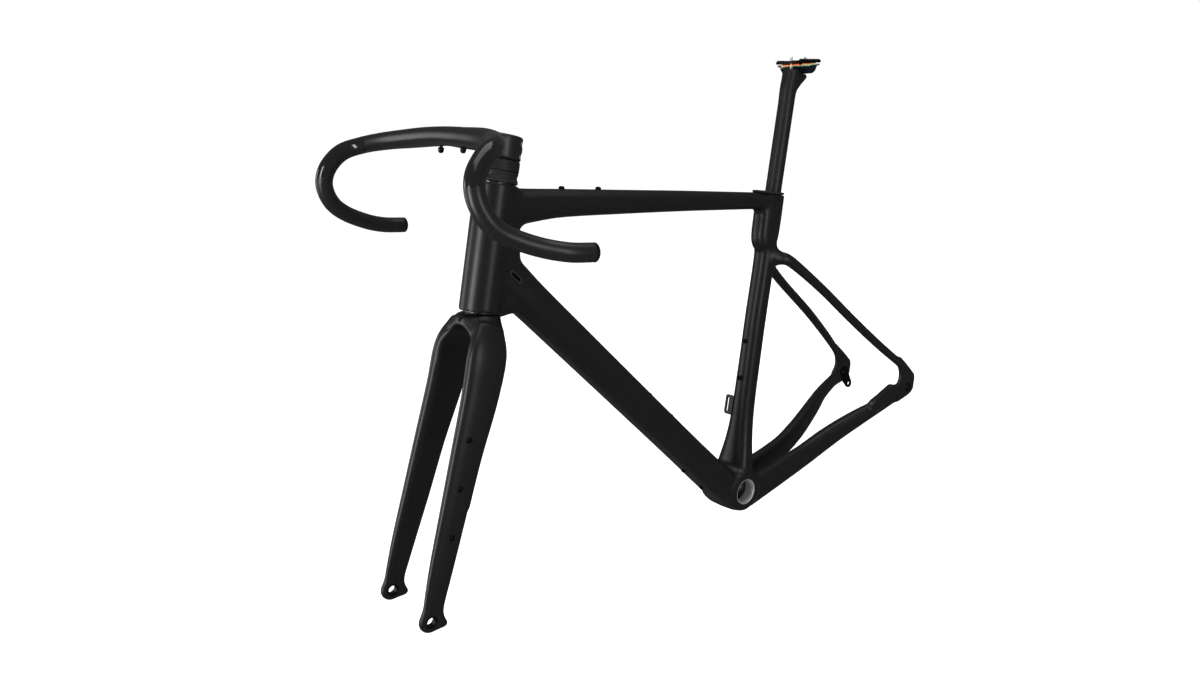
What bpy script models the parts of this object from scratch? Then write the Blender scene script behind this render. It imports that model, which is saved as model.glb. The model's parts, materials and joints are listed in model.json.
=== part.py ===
"""Gravel bicycle frameset: frame, fork, one-piece handlebar and stem, seatpost and saddle clamp.

Origin: centre of the bottom bracket. The bicycle faces -X, its left side is -Y and +Z is up.
Dimensions are in millimetres here and scaled to metres when the meshes are made.
"""
import math

import bmesh
import bpy
import numpy as np
from mathutils import Matrix, Vector

MM = 0.001
GAP = 0.3                    # clearance left between two pieces that touch

# ---- Frame geometry ---------------------------------------------------------------------------
STACK = 590.7                # bottom bracket to top of the head tube, vertical
REACH = 384.2                # the same, horizontal
HEAD_ANGLE = 71.9
SEAT_ANGLE = 72.5
HEAD_TUBE_LENGTH = 171.0
HEAD_TUBE_RADIUS = 28.0
CHAINSTAY_LENGTH = 430.7
DOWN_TUBE_ANGLE = 51.0       # below the horizontal
AXLE_HEIGHT = 68.0           # both wheel axles lie this far above the bottom bracket
FRONT_AXLE_X = -606.8
FRONT_HUB_HALF = 50.5        # inner faces of the fork ends
FORK_END_OUTER = 60.3
REAR_HUB_HALF = 71.0         # inner faces of the rear dropouts
AXLE_HOLE_RADIUS = 6.1

# ---- Head parts -------------------------------------------------------------------------------
STEERER_RADIUS = 14.3
STEERER_WALL = 2.3
BEARING_RADIUS = 26.0        # 52 x 40 x 7 mm cartridge bearings
BEARING_BORE_RADIUS = 20.0
BEARING_HEIGHT = 7.0
COVER_HEIGHT = 15.2          # headset cover, standing on the head tube
SPACER_HEIGHT = 14.2
CLAMP_BOTTOM = 30.3          # stem clamp, heights above the head tube
CLAMP_TOP = 62.0
CLAMP_RADIUS = 28.6

# ---- Seatpost and bottom bracket --------------------------------------------------------------
POST_RADIUS = 13.6
POST_BORE_RADIUS = 11.4
POST_BOTTOM = 380.0          # distances up the seat axis from the bottom bracket
POST_HEAD = 690.0
COVER_HEIGHT_ON_SEAT_AXIS = 511.0
COVER_NORMAL = (math.sin(math.radians(14)), 0.0, math.cos(math.radians(14)))
SHELL_HALF_WIDTH = 39.0
INSERT_RADIUS = 22.3
INSERT_BORE_RADIUS = 20.4
INSERT_LENGTH = 19.5
SADDLE_CLAMP_X = 235.0       # centre of the rail clamp, on which it tilts
SADDLE_CLAMP_Z = 691.5
SADDLE_TILT = 4.5            # the clamp rests nose up by this angle
RAIL_HALF_SPACING = 22.0
RAIL_RADIUS = 3.5

CRADLE_RADIUS = 15.8
HEAD_TOP_BELOW_CLAMP = -7.6  # leaves the cradle's ends room to tilt
BOLT_OFFSETS = (-18.2, 18.2)

# ---- Ends of the frame ------------------------------------------------------------------------
DROPOUT_OUTER = 79.6
HANGER_OUTER = 75.2
HANGER_RADIUS = 13.0
HANGER_TIP = (441.5, 38.0)   # the derailleur's bolt, in side view
HANGER_TIP_RADIUS = 8.6
BRAKE_SLOPE = 13.5           # degrees by which the rear brake mount rises
BRAKE_FLAT_DEPTH = 17.2      # from the left fork leg's centre line back to its flat
BRAKE_FLAT_CENTRE = (-560.5, -54.0, 167.0)

SIDE_VIEW = Matrix(((1, 0, 0), (0, 0, -1), (0, 1, 0))).to_4x4()

STEPS = 28                   # sides of a turned piece
SMALL_STEPS = 10             # sides of a fastener


# ---- Scene helpers ----------------------------------------------------------------------------
def clear_scene():
    for existing in list(bpy.data.objects):
        bpy.data.objects.remove(existing, do_unlink=True)


def make_collection(name):
    collection = bpy.data.collections.new(name)
    bpy.context.scene.collection.children.link(collection)
    return collection


def make_material(name, colour, roughness, metallic=0.0):
    material = bpy.data.materials.new(name)
    material.use_nodes = True
    shader = material.node_tree.nodes["Principled BSDF"]
    shader.inputs["Base Color"].default_value = (*colour, 1.0)
    shader.inputs["Roughness"].default_value = roughness
    shader.inputs["Metallic"].default_value = metallic
    return material


clear_scene()
PARTS = make_collection("bicycle_frameset")
CUTTERS = make_collection("cutters")
SATIN_CARBON = make_material("satin_carbon", (0.012, 0.012, 0.013), 0.42)
GLOSS_CARBON = make_material("gloss_carbon", (0.010, 0.010, 0.011), 0.22)
MATTE_BLACK = make_material("matte_black", (0.02, 0.02, 0.02), 0.6)
RUBBER = make_material("rubber", (0.015, 0.015, 0.015), 0.8)
BLACK_STEEL = make_material("black_steel", (0.03, 0.03, 0.032), 0.35, 1.0)
STEEL = make_material("steel", (0.62, 0.62, 0.64), 0.28, 1.0)
ALUMINIUM = make_material("aluminium", (0.72, 0.73, 0.75), 0.3, 1.0)
BRONZE = make_material("bronze_anodised", (0.45, 0.24, 0.13), 0.3, 1.0)


def add_object(name, mesh, material=None, collection=PARTS):
    piece = bpy.data.objects.new(name, mesh)
    collection.objects.link(piece)
    if material:
        mesh.materials.append(material)
    if collection is CUTTERS:
        piece.hide_render = True
        piece.display_type = "WIRE"
    return piece


def mesh_from(name, build):
    """Mesh made by build(bm), with its faces turned outwards and round faces smooth."""
    bm = bmesh.new()
    build(bm)
    bmesh.ops.recalc_face_normals(bm, faces=bm.faces)
    mesh = bpy.data.meshes.new(name)
    bm.to_mesh(mesh)
    bm.free()
    mesh.shade_smooth()
    mesh.set_sharp_from_angle(angle=math.radians(35))
    return mesh


def boolean(target, other, operation="DIFFERENCE"):
    modifier = target.modifiers.new(operation.lower(), "BOOLEAN")
    modifier.operation = operation
    modifier.solver = "EXACT"
    modifier.object = other
    return modifier


def placed(x, y, z, axis=(0, 0, 1), forward=(1, 0, 0)):
    """Matrix whose local Z lies along axis at the point (x, y, z), given in millimetres."""
    up = Vector(axis).normalized()
    side = up.cross(Vector(forward))
    side.normalize()
    matrix = Matrix((side.cross(up), side, up)).transposed().to_4x4()
    matrix.translation = Vector((x, y, z)) * MM
    return matrix


# ---- Axes -------------------------------------------------------------------------------------
def unit(angle):
    return Vector((math.cos(math.radians(angle)), 0.0, math.sin(math.radians(angle))))


HEAD_TOP = Vector((-REACH, 0.0, STACK))
HEAD_UP = unit(HEAD_ANGLE)
SEAT_UP = unit(SEAT_ANGLE)
REAR_AXLE_X = math.sqrt(CHAINSTAY_LENGTH ** 2 - AXLE_HEIGHT ** 2)


def on_head_axis(height):
    """Point on the steering axis, at a height above the top of the head tube."""
    return HEAD_TOP + HEAD_UP * height


def on_seat_axis(distance, ahead=0.0):
    """Point on the seat axis, at a distance from the bottom bracket and some way ahead of it."""
    return SEAT_UP * distance + Vector((-SEAT_UP.z, 0.0, SEAT_UP.x)) * ahead


def head_matrix(height=0.0):
    return placed(*on_head_axis(height), axis=HEAD_UP)


def seat_matrix(distance=0.0):
    return placed(*on_seat_axis(distance), axis=SEAT_UP)


def add_empty(name, matrix):
    empty = bpy.data.objects.new(name, None)
    empty.empty_display_size = 0.03
    empty.matrix_world = matrix
    PARTS.objects.link(empty)
    return empty


STEERING = add_empty("steering_axis", head_matrix())
POST = add_empty("seatpost_axis", seat_matrix(POST_HEAD))
TILT = add_empty("saddle_clamp_axis", placed(SADDLE_CLAMP_X, 0, SADDLE_CLAMP_Z, axis=(0, 1, 0)))
TILT.parent = POST
TILT.matrix_parent_inverse = POST.matrix_world.inverted()


def attach(piece, empty):
    """Parent a piece to the empty on its joint's axis, without moving it."""
    piece.parent = empty
    piece.matrix_parent_inverse = empty.matrix_world.inverted()
    return piece


# ---- Shapes -----------------------------------------------------------------------------------
def smooth_stations(stations, between):
    """Catmull-Rom curve through rows of numbers, with some rows added between each pair."""
    rows = np.array(stations, dtype=float)
    padded = np.vstack((2 * rows[0] - rows[1], rows, 2 * rows[-1] - rows[-2]))
    result = []
    for i in range(1, len(padded) - 2):
        before, start, end, after = padded[i - 1:i + 3]
        for step in range(between + 1):
            t = step / (between + 1)
            result.append(0.5 * (2 * start + (end - before) * t
                                 + (2 * before - 5 * start + 4 * end - after) * t ** 2
                                 + (3 * start - before - 3 * end + after) * t ** 3))
    result.append(padded[-2])
    return np.array(result)


def section(centre, normal, side, depth, width, power, sides):
    """Superellipse ring: depth along normal and width along side are half sizes."""
    ring = []
    for k in range(sides):
        angle = math.tau * k / sides
        c, s = math.cos(angle), math.sin(angle)
        across = math.copysign(abs(c) ** (2 / power), c) * depth
        along = math.copysign(abs(s) ** (2 / power), s) * width
        ring.append((centre + normal * across + side * along) * MM)
    return ring


def loft_rings(rows, side, sides, grow=0.0):
    """Rings square to a path. Each row is x, y, z, half depth, half width, power."""
    rings = []
    side = Vector(side)
    for i, row in enumerate(rows):
        ahead, behind = rows[min(i + 1, len(rows) - 1)][:3], rows[max(i - 1, 0)][:3]
        tangent = Vector(ahead - behind).normalized()
        side = (side - tangent * side.dot(tangent)).normalized()
        normal = tangent.cross(side)
        rings.append(section(Vector(row[:3]), normal, side, row[3] + grow, row[4] + grow, row[5], sides))
    return rings


def bridge(bm, first, second):
    count = len(first)
    for k in range(count):
        n = (k + 1) % count
        bm.faces.new((first[k], first[n], second[n], second[k]))


def skin(bm, rings, inner=None):
    """Skin over rings, closed by caps, or by end walls where inner rings make it a tube."""
    outside = [[bm.verts.new(point) for point in ring] for ring in rings]
    for first, second in zip(outside, outside[1:]):
        bridge(bm, first, second)
    if not inner:
        bm.faces.new(outside[0])
        bm.faces.new(outside[-1])
        return
    inside = [[bm.verts.new(point) for point in ring] for ring in inner]
    for first, second in zip(inside, inside[1:]):
        bridge(bm, first, second)
    bridge(bm, outside[0], inside[0])
    bridge(bm, outside[-1], inside[-1])


def loft(name, stations, material, wall=0.0, sides=20, between=1, side=(0, 1, 0), grow=0.0,
         collection=PARTS):
    """Tube of changing section through the stations, hollow where it has a wall."""
    rows = smooth_stations(stations, between)
    rings = loft_rings(rows, side, sides, grow)
    inner = loft_rings(rows, side, sides, -wall) if wall else None
    return add_object(name, mesh_from(name, lambda bm: skin(bm, rings, inner)), material, collection)


def turned(name, profile, matrix, material, steps=STEPS, collection=PARTS):
    """Profile of (radius, height) turned about the local Z axis.

    It runs down the outside first, then, for a ring, back up the inside.
    """
    mesh = bpy.data.meshes.new(name)
    bm = bmesh.new()
    verts = [bm.verts.new((radius * MM, 0.0, height * MM)) for radius, height in profile]
    for a, b in zip(verts, verts[1:]):
        bm.edges.new((a, b))
    if all(radius > 0 for radius, _ in profile):
        bm.edges.new((verts[-1], verts[0]))
    bm.to_mesh(mesh)
    bm.free()
    piece = add_object(name, mesh, material, collection)
    piece.matrix_world = matrix
    screw = piece.modifiers.new("turn", "SCREW")
    screw.steps = steps
    screw.render_steps = steps
    screw.use_merge_vertices = True
    screw.merge_threshold = 0.00001
    return piece


def ring_profile(outer, inner, top, bottom, bevel=0.4):
    """Square ring with small bevels on its outer edges."""
    return [(outer - bevel, top), (outer, top - bevel), (outer, bottom + bevel), (outer - bevel, bottom),
            (inner, bottom), (inner, top)]


def cylinder(name, radius, low, high, matrix, sides=24):
    """Cutter: a plain cylinder between two heights on the local Z axis."""
    def build(bm):
        bmesh.ops.create_cone(bm, cap_ends=True, segments=sides, radius1=radius * MM,
                              radius2=radius * MM, depth=(high - low) * MM)
        bmesh.ops.translate(bm, verts=bm.verts, vec=(0, 0, (high + low) / 2 * MM))
    piece = add_object(name, mesh_from(name, build), collection=CUTTERS)
    piece.matrix_world = matrix
    return piece


def block(name, size, matrix, collection=CUTTERS, material=None, bevel=0.0):
    """Box centred on the matrix, with its edges bevelled where asked."""
    def build(bm):
        bmesh.ops.create_cube(bm, size=1.0)
        bmesh.ops.scale(bm, verts=bm.verts, vec=Vector(size) * MM)
        if bevel:
            bmesh.ops.bevel(bm, geom=bm.edges[:], offset=bevel * MM, segments=2, affect="EDGES")
    piece = add_object(name, mesh_from(name, build), material, collection)
    piece.matrix_world = matrix
    return piece


def plate(name, outline, low, high, matrix, material=None, collection=PARTS):
    """Flat outline in the local XY plane, thickened between two local heights."""
    curve = bpy.data.curves.new(name, "CURVE")
    curve.dimensions = "2D"
    curve.fill_mode = "BOTH"
    curve.extrude = (high - low) / 2 * MM
    spline = curve.splines.new("POLY")
    spline.points.add(len(outline) - 1)
    for point, (x, y) in zip(spline.points, outline):
        point.co = (x * MM, y * MM, 0.0, 1.0)
    spline.use_cyclic_u = True
    guide = add_object(name + "_outline", curve, collection=CUTTERS)
    filled = bpy.data.meshes.new_from_object(guide.evaluated_get(bpy.context.evaluated_depsgraph_get()))
    bpy.data.objects.remove(guide, do_unlink=True)

    def build(bm):
        bm.from_mesh(filled)
        bmesh.ops.remove_doubles(bm, verts=bm.verts, dist=0.00001)
        bmesh.ops.translate(bm, verts=bm.verts, vec=(0, 0, (high + low) / 2 * MM))
    piece = add_object(name, mesh_from(name, build), material, collection)
    piece.matrix_world = matrix
    return piece


def side_plate(name, outline, inner, outer, side=1, material=None, collection=PARTS):
    """Plate square to the Y axis: its outline is the side view, X back and Z up, on one side."""
    low, high = (inner, outer) if side < 0 else (-outer, -inner)
    return plate(name, outline, low, high, SIDE_VIEW, material, collection)


def round_edges(piece, width, segments=1):
    """Bevel on the piece's sharp edges, so that it comes before any cut."""
    bevel = piece.modifiers.new("round_edges", "BEVEL")
    bevel.width = width * MM
    bevel.segments = segments
    bevel.limit_method = "ANGLE"
    bevel.angle_limit = math.radians(50)


def arc(x, y, radius, start, end, count):
    """Points on an arc, from one angle in degrees to another."""
    return [(x + radius * math.cos(math.radians(start + (end - start) * i / (count - 1))),
             y + radius * math.sin(math.radians(start + (end - start) * i / (count - 1))))
            for i in range(count)]


def bolt(name, matrix, head=4.2, height=2.6, shank=2.3, length=9.0, material=BLACK_STEEL):
    """Button-head bolt with a hexagonal socket. Its head rests at the matrix, and points along +Z."""
    profile = [(0.0, height), (head * 0.75, height), (head, height * 0.2), (shank, 0.0), (shank, -length),
               (0.0, -length)]
    piece = turned(name, profile, matrix, material, steps=SMALL_STEPS)
    socket = cylinder(name + "_socket", head * 0.42, height * 0.3, height + 1.0, matrix, sides=6)
    boolean(piece, socket)
    return piece


def tapped(target, name, matrix, radius=2.7, depth=14.0):
    """Hole for a bolt's shank, along the local Z axis and down from the matrix."""
    boolean(target, cylinder(name, radius, -depth, 4.0, matrix, sides=SMALL_STEPS))


# ---- Tube stations: x, y, z, half depth, half width, power of the superellipse -----------------
def tube_point(start, direction, distance, depth, width, power):
    point = Vector(start) + Vector(direction) * distance
    return (*point, depth, width, power)


TOP_TUBE = [(-380, 0, 556.0, 26.5, 26.0, 2.4), (-340, 0, 552.2, 22.6, 22.5, 2.5),
            (-286, 0, 546.2, 19.2, 20.0, 2.7), (-183, 0, 530.3, 17.2, 19.0, 2.8),
            (-63, 0, 511.2, 15.6, 17.8, 2.8), (60, 0, 490.6, 14.2, 16.6, 2.8),
            (128, 0, 479.2, 13.6, 15.8, 2.8)]
DOWN_TUBE_DIRECTION = unit(-DOWN_TUBE_ANGLE)
DOWN_TUBE_START = (-396.0, 0.0, 471.0)
DOWN_TUBE = [tube_point(DOWN_TUBE_START, DOWN_TUBE_DIRECTION, *row) for row in (
    (-40, 30.0, 25.0, 2.6), (10, 29.5, 25.2, 2.6), (60, 27.0, 26.0, 2.8), (150, 26.2, 27.0, 3.0),
    (330, 26.0, 28.5, 3.0), (470, 26.0, 31.5, 3.0), (545, 26.4, 35.0, 3.0), (600, 26.0, 37.0, 3.0))]


def seat_station(distance, behind, depth, width, power):
    return (*on_seat_axis(distance, -behind), depth, width, power)


SEAT_TUBE = [seat_station(*row) for row in (
    (8, 4, 23.0, 36.0, 2.8), (45, 5.5, 21.4, 32.0, 2.6), (80, 5.5, 19.4, 25.5, 2.4),
    (115, 5, 18.3, 21.0, 2.3),
    (160, 4, 17.5, 18.6, 2.3), (240, 3.2, 17.4, 17.6, 2.3), (300, 2.4, 17.6, 17.4, 2.3),
    (412, 2.2, 17.5, 17.4, 2.4),
    (434, -4, 24.2, 18.0, 2.7), (470, -5, 25.5, 18.2, 2.8), (508, -6, 26.0, 17.6, 2.8))]
CHAINSTAY = [(14, 25.5, -14, 24.5, 11.5, 3.0), (70, 25.5, -8.5, 23.6, 11.0, 3.0),
             (162, 28, 3.4, 21.4, 11.0, 3.0),
             (217, 34, 16.8, 20.2, 11.8, 3.0), (257, 42, 28, 18.6, 12.0, 2.8),
             (300, 53, 39.6, 16.6, 11.4, 2.7),
             (343, 65, 50.4, 14.4, 8.8, 2.6), (391, 74.6, 61, 14.4, 4.3, 2.8)]
SEATSTAY = [(122, 8, 393, 13.0, 7.0, 2.4), (138, 20, 381, 12.0, 8.4, 2.4), (156, 31.0, 370.5, 9.6, 8.4, 2.3),
            (217, 44.3, 311, 8.2, 7.8, 2.2), (292, 50.4, 236.8, 8.2, 7.6, 2.2),
            (357, 61.5, 171, 8.0, 7.0, 2.2),
            (397, 72.5, 131, 8.0, 4.6, 2.5)]
FORK_LEG = [(-443, 35.0, 416, 19.0, 8.5, 2.4), (-459.5, 43.5, 383, 27.5, 12.5, 2.6),
            (-482, 46.0, 331, 26.0, 11.6, 2.6),
            (-514.5, 48.7, 264, 22.8, 10.3, 2.6), (-547, 51.2, 195, 20.3, 9.0, 2.6),
            (-576.5, 53.4, 133.5, 17.8, 7.4, 2.5), (-598, 55.2, 86, 15.2, 5.2, 2.5),
            (-604.5, 55.4, 71, 13.4, 4.8, 2.5)]
HANDLEBAR = [(-452, 0, 658.8, 10.8, 20.0, 2.7), (-452.5, 35, 658.2, 11.0, 20.0, 2.7),
             (-456, 80, 656.8, 11.2, 18.8, 2.5), (-466, 130, 655.3, 11.2, 15.0, 2.3),
             (-483, 170, 651.9, 11.4, 12.0, 2), (-506, 188.5, 645, 11.7, 11.8, 2),
             (-526, 195.5, 627, 11.8, 11.8, 2), (-533, 201.5, 605, 11.7, 11.7, 2),
             (-526, 206, 580, 11.4, 11.4, 2), (-508, 209.5, 561, 11.2, 11.2, 2),
             (-476, 218.5, 543, 11.2, 11.2, 2), (-445, 229.5, 531.5, 11.3, 11.3, 2),
             (-413, 232.5, 525, 11.3, 11.3, 2)]


def mirrored(stations):
    return [(x, -y, *rest) for x, y, *rest in stations]


# ---- Frame ------------------------------------------------------------------------------------
def make_head_tube():
    seat = BEARING_HEIGHT + 1.0
    bore = BEARING_RADIUS + 0.2
    bottom = -HEAD_TUBE_LENGTH
    profile = [(HEAD_TUBE_RADIUS - 0.8, 0), (HEAD_TUBE_RADIUS - 0.2, -0.8), (HEAD_TUBE_RADIUS, bottom + 0.8),
               (HEAD_TUBE_RADIUS - 0.8, bottom), (bore, bottom), (bore, bottom + seat), (23.2, bottom +
               seat + 2),
               (23.2, -seat - 2), (bore, -seat), (bore, 0)]
    turned("head_tube", profile, head_matrix(), SATIN_CARBON)


def make_main_tubes():
    """Top, down and seat tubes, each cut back where it meets the piece that it is bonded to."""
    head_cutter = cylinder("head_cutter", HEAD_TUBE_RADIUS + GAP, -HEAD_TUBE_LENGTH - 40, 40, head_matrix(),
                           sides=STEPS)
    shell_cutter = shell_barrel("shell_cutter", GAP)
    seat_cutter = loft("seat_cutter", SEAT_TUBE, None, grow=GAP, collection=CUTTERS)
    down_cutter = loft("down_cutter", DOWN_TUBE, None, grow=GAP, between=0, collection=CUTTERS)
    top = loft("top_tube", TOP_TUBE, SATIN_CARBON, wall=2.0, sides=18)
    down = loft("down_tube", DOWN_TUBE, SATIN_CARBON, wall=2.0, between=0)
    seat = loft("seat_tube", SEAT_TUBE, SATIN_CARBON)
    for tube in (top, down):
        boolean(tube, head_cutter)
    boolean(top, seat_cutter)
    boolean(seat, down_cutter)
    for tube in (down, seat):
        boolean(tube, shell_cutter)
    boolean(seat, cylinder("post_bore", POST_RADIUS + GAP, POST_BOTTOM - 95, 540, seat_matrix(), sides=STEPS))
    lower_axis = placed(*on_seat_axis(0, -3), axis=SEAT_UP)
    boolean(seat, cylinder("seat_tube_bore", 11.5, 60, POST_BOTTOM - 80, lower_axis))
    top_trim = placed(*on_seat_axis(COVER_HEIGHT_ON_SEAT_AXIS + 38), axis=COVER_NORMAL)
    for tube in (top, seat):
        boolean(tube, block("cover_seat_" + tube.name, (200, 80, 80), top_trim))
    return top, down, seat, seat_cutter


def shell_barrel(name, grow=0.0, material=None, collection=CUTTERS):
    """Outside of the bottom bracket shell: a barrel that lies across the frame."""
    half = SHELL_HALF_WIDTH + (20 if grow else 0)
    shape = ((32.2, half), (34.4, SHELL_HALF_WIDTH - 2.5), (37.4, 24), (38.4, 0), (37.4, -24),
             (34.4, 2.5 - SHELL_HALF_WIDTH), (32.2, -half))
    profile = [(0.0, half)] + [(radius + grow, height) for radius, height in shape] + [(0.0, -half)]
    return turned(name, profile, placed(0, 0, 0, axis=(0, 1, 0)), material, collection=collection)


def make_bottom_bracket():
    across = placed(0, 0, 0, axis=(0, 1, 0))
    shell = shell_barrel("bottom_bracket_shell", 0.0, SATIN_CARBON, PARTS)
    bore = INSERT_RADIUS + GAP
    half, mouth = SHELL_HALF_WIDTH + 1, SHELL_HALF_WIDTH - INSERT_LENGTH - 1
    profile = [(0.0, half), (bore, half), (bore, mouth), (26.0, mouth - 3), (26.0, 3 - mouth), (bore, -mouth),
               (bore, -half), (0.0, -half)]
    boolean(shell, turned("shell_bore", profile, across, None, collection=CUTTERS))
    for side, word in ((-1, "left"), (1, "right")):
        outer = SHELL_HALF_WIDTH - 0.3
        ring = ring_profile(INSERT_RADIUS, INSERT_BORE_RADIUS, outer, outer - INSERT_LENGTH, bevel=0.3)
        turned(f"bottom_bracket_insert_{word}", ring, placed(0, 0, 0, axis=(0, side, 0)), ALUMINIUM)


def make_rear_triangle(seat_cutter):
    shell_cutter = bpy.data.objects["shell_cutter"]
    down_cutter = bpy.data.objects["down_cutter"]
    for side, word in ((-1, "left"), (1, "right")):
        flip = mirrored if side < 0 else list
        chainstay = loft(f"chainstay_{word}", flip(CHAINSTAY), SATIN_CARBON, wall=2.0, sides=16, between=0)
        seatstay = loft(f"seatstay_{word}", flip(SEATSTAY), SATIN_CARBON, wall=1.8, sides=14, between=0)
        make_dropout(word, side)
        for cutter in (shell_cutter, seat_cutter, down_cutter):
            boolean(chainstay, cutter)
        boolean(seatstay, seat_cutter)
        if side < 0:
            add_brake_mount(chainstay)
        for stay in (chainstay, seatstay):
            boolean(stay, dropout_cutter(word, side))


DROPOUT_SEAM = [(397.5, 124.5), (405.2, 106.5), (405.5, 97), (403.2, 87), (394.5, 78)]
DROPOUT_OUTLINE = DROPOUT_SEAM + [(394.5, 45.5), (425, 48.5), (439, 51.5), (446.5, 58), (452, 77),
                                  (451.5, 87),
                                  (438, 103), (422, 120), (407.5, 134.5)]


def make_dropout(word, side):
    dropout = side_plate(f"rear_dropout_{word}", DROPOUT_OUTLINE, REAR_HUB_HALF, DROPOUT_OUTER, side,
                         SATIN_CARBON)
    round_edges(dropout, 1.2)
    axle = placed(REAR_AXLE_X, 0, AXLE_HEIGHT, axis=(0, side, 0))
    boolean(dropout, cylinder(f"rear_axle_hole_{word}", AXLE_HOLE_RADIUS, 60, 90, axle, sides=16))
    boolean(dropout, cylinder(f"rear_axle_recess_{word}", 9.0, DROPOUT_OUTER - 1.6, 90, axle, sides=16))


def dropout_cutter(word, side):
    """Half space that trims a stay just short of the dropout's seams."""
    name = f"dropout_trim_{word}"
    existing = bpy.data.objects.get(name)
    if existing:
        return existing
    outline = [(x - GAP, z) for x, z in DROPOUT_SEAM] + [(394.5 - GAP, 20), (520, 20), (520, 134.5),
                                                         (407.5, 135.2)]
    return side_plate(name, outline, 40, 110, side, collection=CUTTERS)


def add_brake_mount(chainstay):
    """Raised flat pad on the left chainstay for the rear brake caliper, with two sunk bolts."""
    slope = math.radians(BRAKE_SLOPE)
    pad_up = Vector((-math.sin(slope), 0, math.cos(slope)))
    across, head, sunk = -69.5, 4.4, 2.8
    pad = block("brake_pad", (64, 14, 22), placed(357, across, 66.5, axis=pad_up), bevel=1.0)
    boolean(chainstay, pad, "UNION")
    for x, word in ((341, "front"), (374, "rear")):
        surface = placed(x, across, 78.0 + (x - 357) * math.tan(slope), axis=pad_up)
        tapped(chainstay, f"brake_hole_{word}", surface, radius=3.0, depth=16)
        counterbore = cylinder(f"brake_counterbore_{word}", head + GAP, -sunk - GAP, 4, surface, sides=16)
        boolean(chainstay, counterbore)
        seat = surface.copy()
        seat.translation -= pad_up * sunk * MM
        bolt(f"rear_brake_bolt_{word}", seat, head=head, height=2.2, length=11, material=STEEL)


def hanger_outline(grow=0.0):
    """Two circles, round the axle and round the derailleur's bolt, and their common tangents."""
    across, down = HANGER_TIP[0] - REAR_AXLE_X, HANGER_TIP[1] - AXLE_HEIGHT
    heading = math.degrees(math.atan2(down, across))
    turn = math.degrees(math.acos((HANGER_RADIUS - HANGER_TIP_RADIUS) / math.hypot(across, down)))
    return (arc(REAR_AXLE_X, AXLE_HEIGHT, HANGER_RADIUS + grow, heading + 360 - turn, heading + turn, 10)
            + arc(*HANGER_TIP, HANGER_TIP_RADIUS + grow, heading + turn, heading - turn, 7))


def make_hanger():
    """Replaceable derailleur hanger, in a pocket inside the right dropout, and its nut outside."""
    right = bpy.data.objects["rear_dropout_right"]
    pocket = side_plate("hanger_pocket", hanger_outline(GAP), 60, HANGER_OUTER + GAP, collection=CUTTERS)
    boolean(right, pocket)
    hanger = side_plate("derailleur_hanger", hanger_outline(), REAR_HUB_HALF, HANGER_OUTER,
                        material=BLACK_STEEL)
    axle = placed(REAR_AXLE_X, 0, AXLE_HEIGHT, axis=(0, 1, 0))
    boolean(hanger, cylinder("hanger_axle_hole", AXLE_HOLE_RADIUS, 50, 90, axle, sides=16))
    tip = placed(HANGER_TIP[0], 0, HANGER_TIP[1], axis=(0, 1, 0))
    boolean(hanger, cylinder("hanger_thread", 4.6, 50, 90, tip, sides=16))
    ring = ring_profile(8.6, AXLE_HOLE_RADIUS, DROPOUT_OUTER + 0.3, DROPOUT_OUTER - 1.3, bevel=0.3)
    turned("hanger_nut", ring, axle, BLACK_STEEL, steps=16)


def make_front_derailleur_bracket(seat_cutter):
    """Slotted plate that stands out from the right of the seat tube."""
    backwards = Vector((SEAT_UP.z, 0, -SEAT_UP.x))
    matrix = Matrix((Vector((0, 1, 0)), SEAT_UP, backwards)).transposed().to_4x4()
    matrix.translation = on_seat_axis(141, 9.5) * MM
    outline = [(10, -17), (26, -17), (28.5, -14), (28.5, 14), (26, 17), (10, 17)]
    bracket = plate("front_derailleur_bracket", outline, -1.8, 1.8, matrix, SATIN_CARBON)
    slot = [(20.5, -12), (25, -12), (25, 12), (20.5, 12)]
    boolean(bracket, plate("bracket_slot", slot, -5, 5, matrix, collection=CUTTERS))
    boolean(bracket, seat_cutter)


# ---- Fittings on the frame --------------------------------------------------------------------
def make_tube_bolts(top, down, seat):
    """Bolts for bags and bottle cages, along the tubes."""
    slope = math.radians(-9.9)
    up = (-math.sin(slope), 0, math.cos(slope))
    for x, word in ((-281.5, "front"), (-218.0, "rear")):
        z = 565.0 + (x + 281.5) * math.tan(slope)
        matrix = placed(x, 0, z + 0.6, axis=up)
        tapped(top, f"top_tube_hole_{word}", matrix)
        bolt(f"top_tube_bolt_{word}", matrix, head=4.3, height=4.2)
    normal = Vector((-DOWN_TUBE_DIRECTION[2], 0, DOWN_TUBE_DIRECTION[0]))
    start, along = Vector(DOWN_TUBE_START), Vector(DOWN_TUBE_DIRECTION)
    rows = (("down_tube_bolt_upper", 341, 1), ("down_tube_bolt_lower", 405, 1),
            ("under_tube_bolt_front", 497, -1), ("under_tube_bolt_rear", 555, -1))
    for name, distance, way in rows:
        surface = start + along * distance + normal * way * (26.4 + GAP)
        matrix = placed(*surface, axis=normal * way)
        tapped(down, name + "_hole", matrix)
        bolt(name, matrix)
    for name, distance in (("seat_tube_bolt_upper", 256), ("seat_tube_bolt_lower", 192)):
        surface = on_seat_axis(distance, 14.6 + GAP)
        matrix = placed(*surface, axis=(-SEAT_UP.z, 0, SEAT_UP.x))
        tapped(seat, name + "_hole", matrix, depth=9.0)
        bolt(name, matrix, length=6.5)


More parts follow.
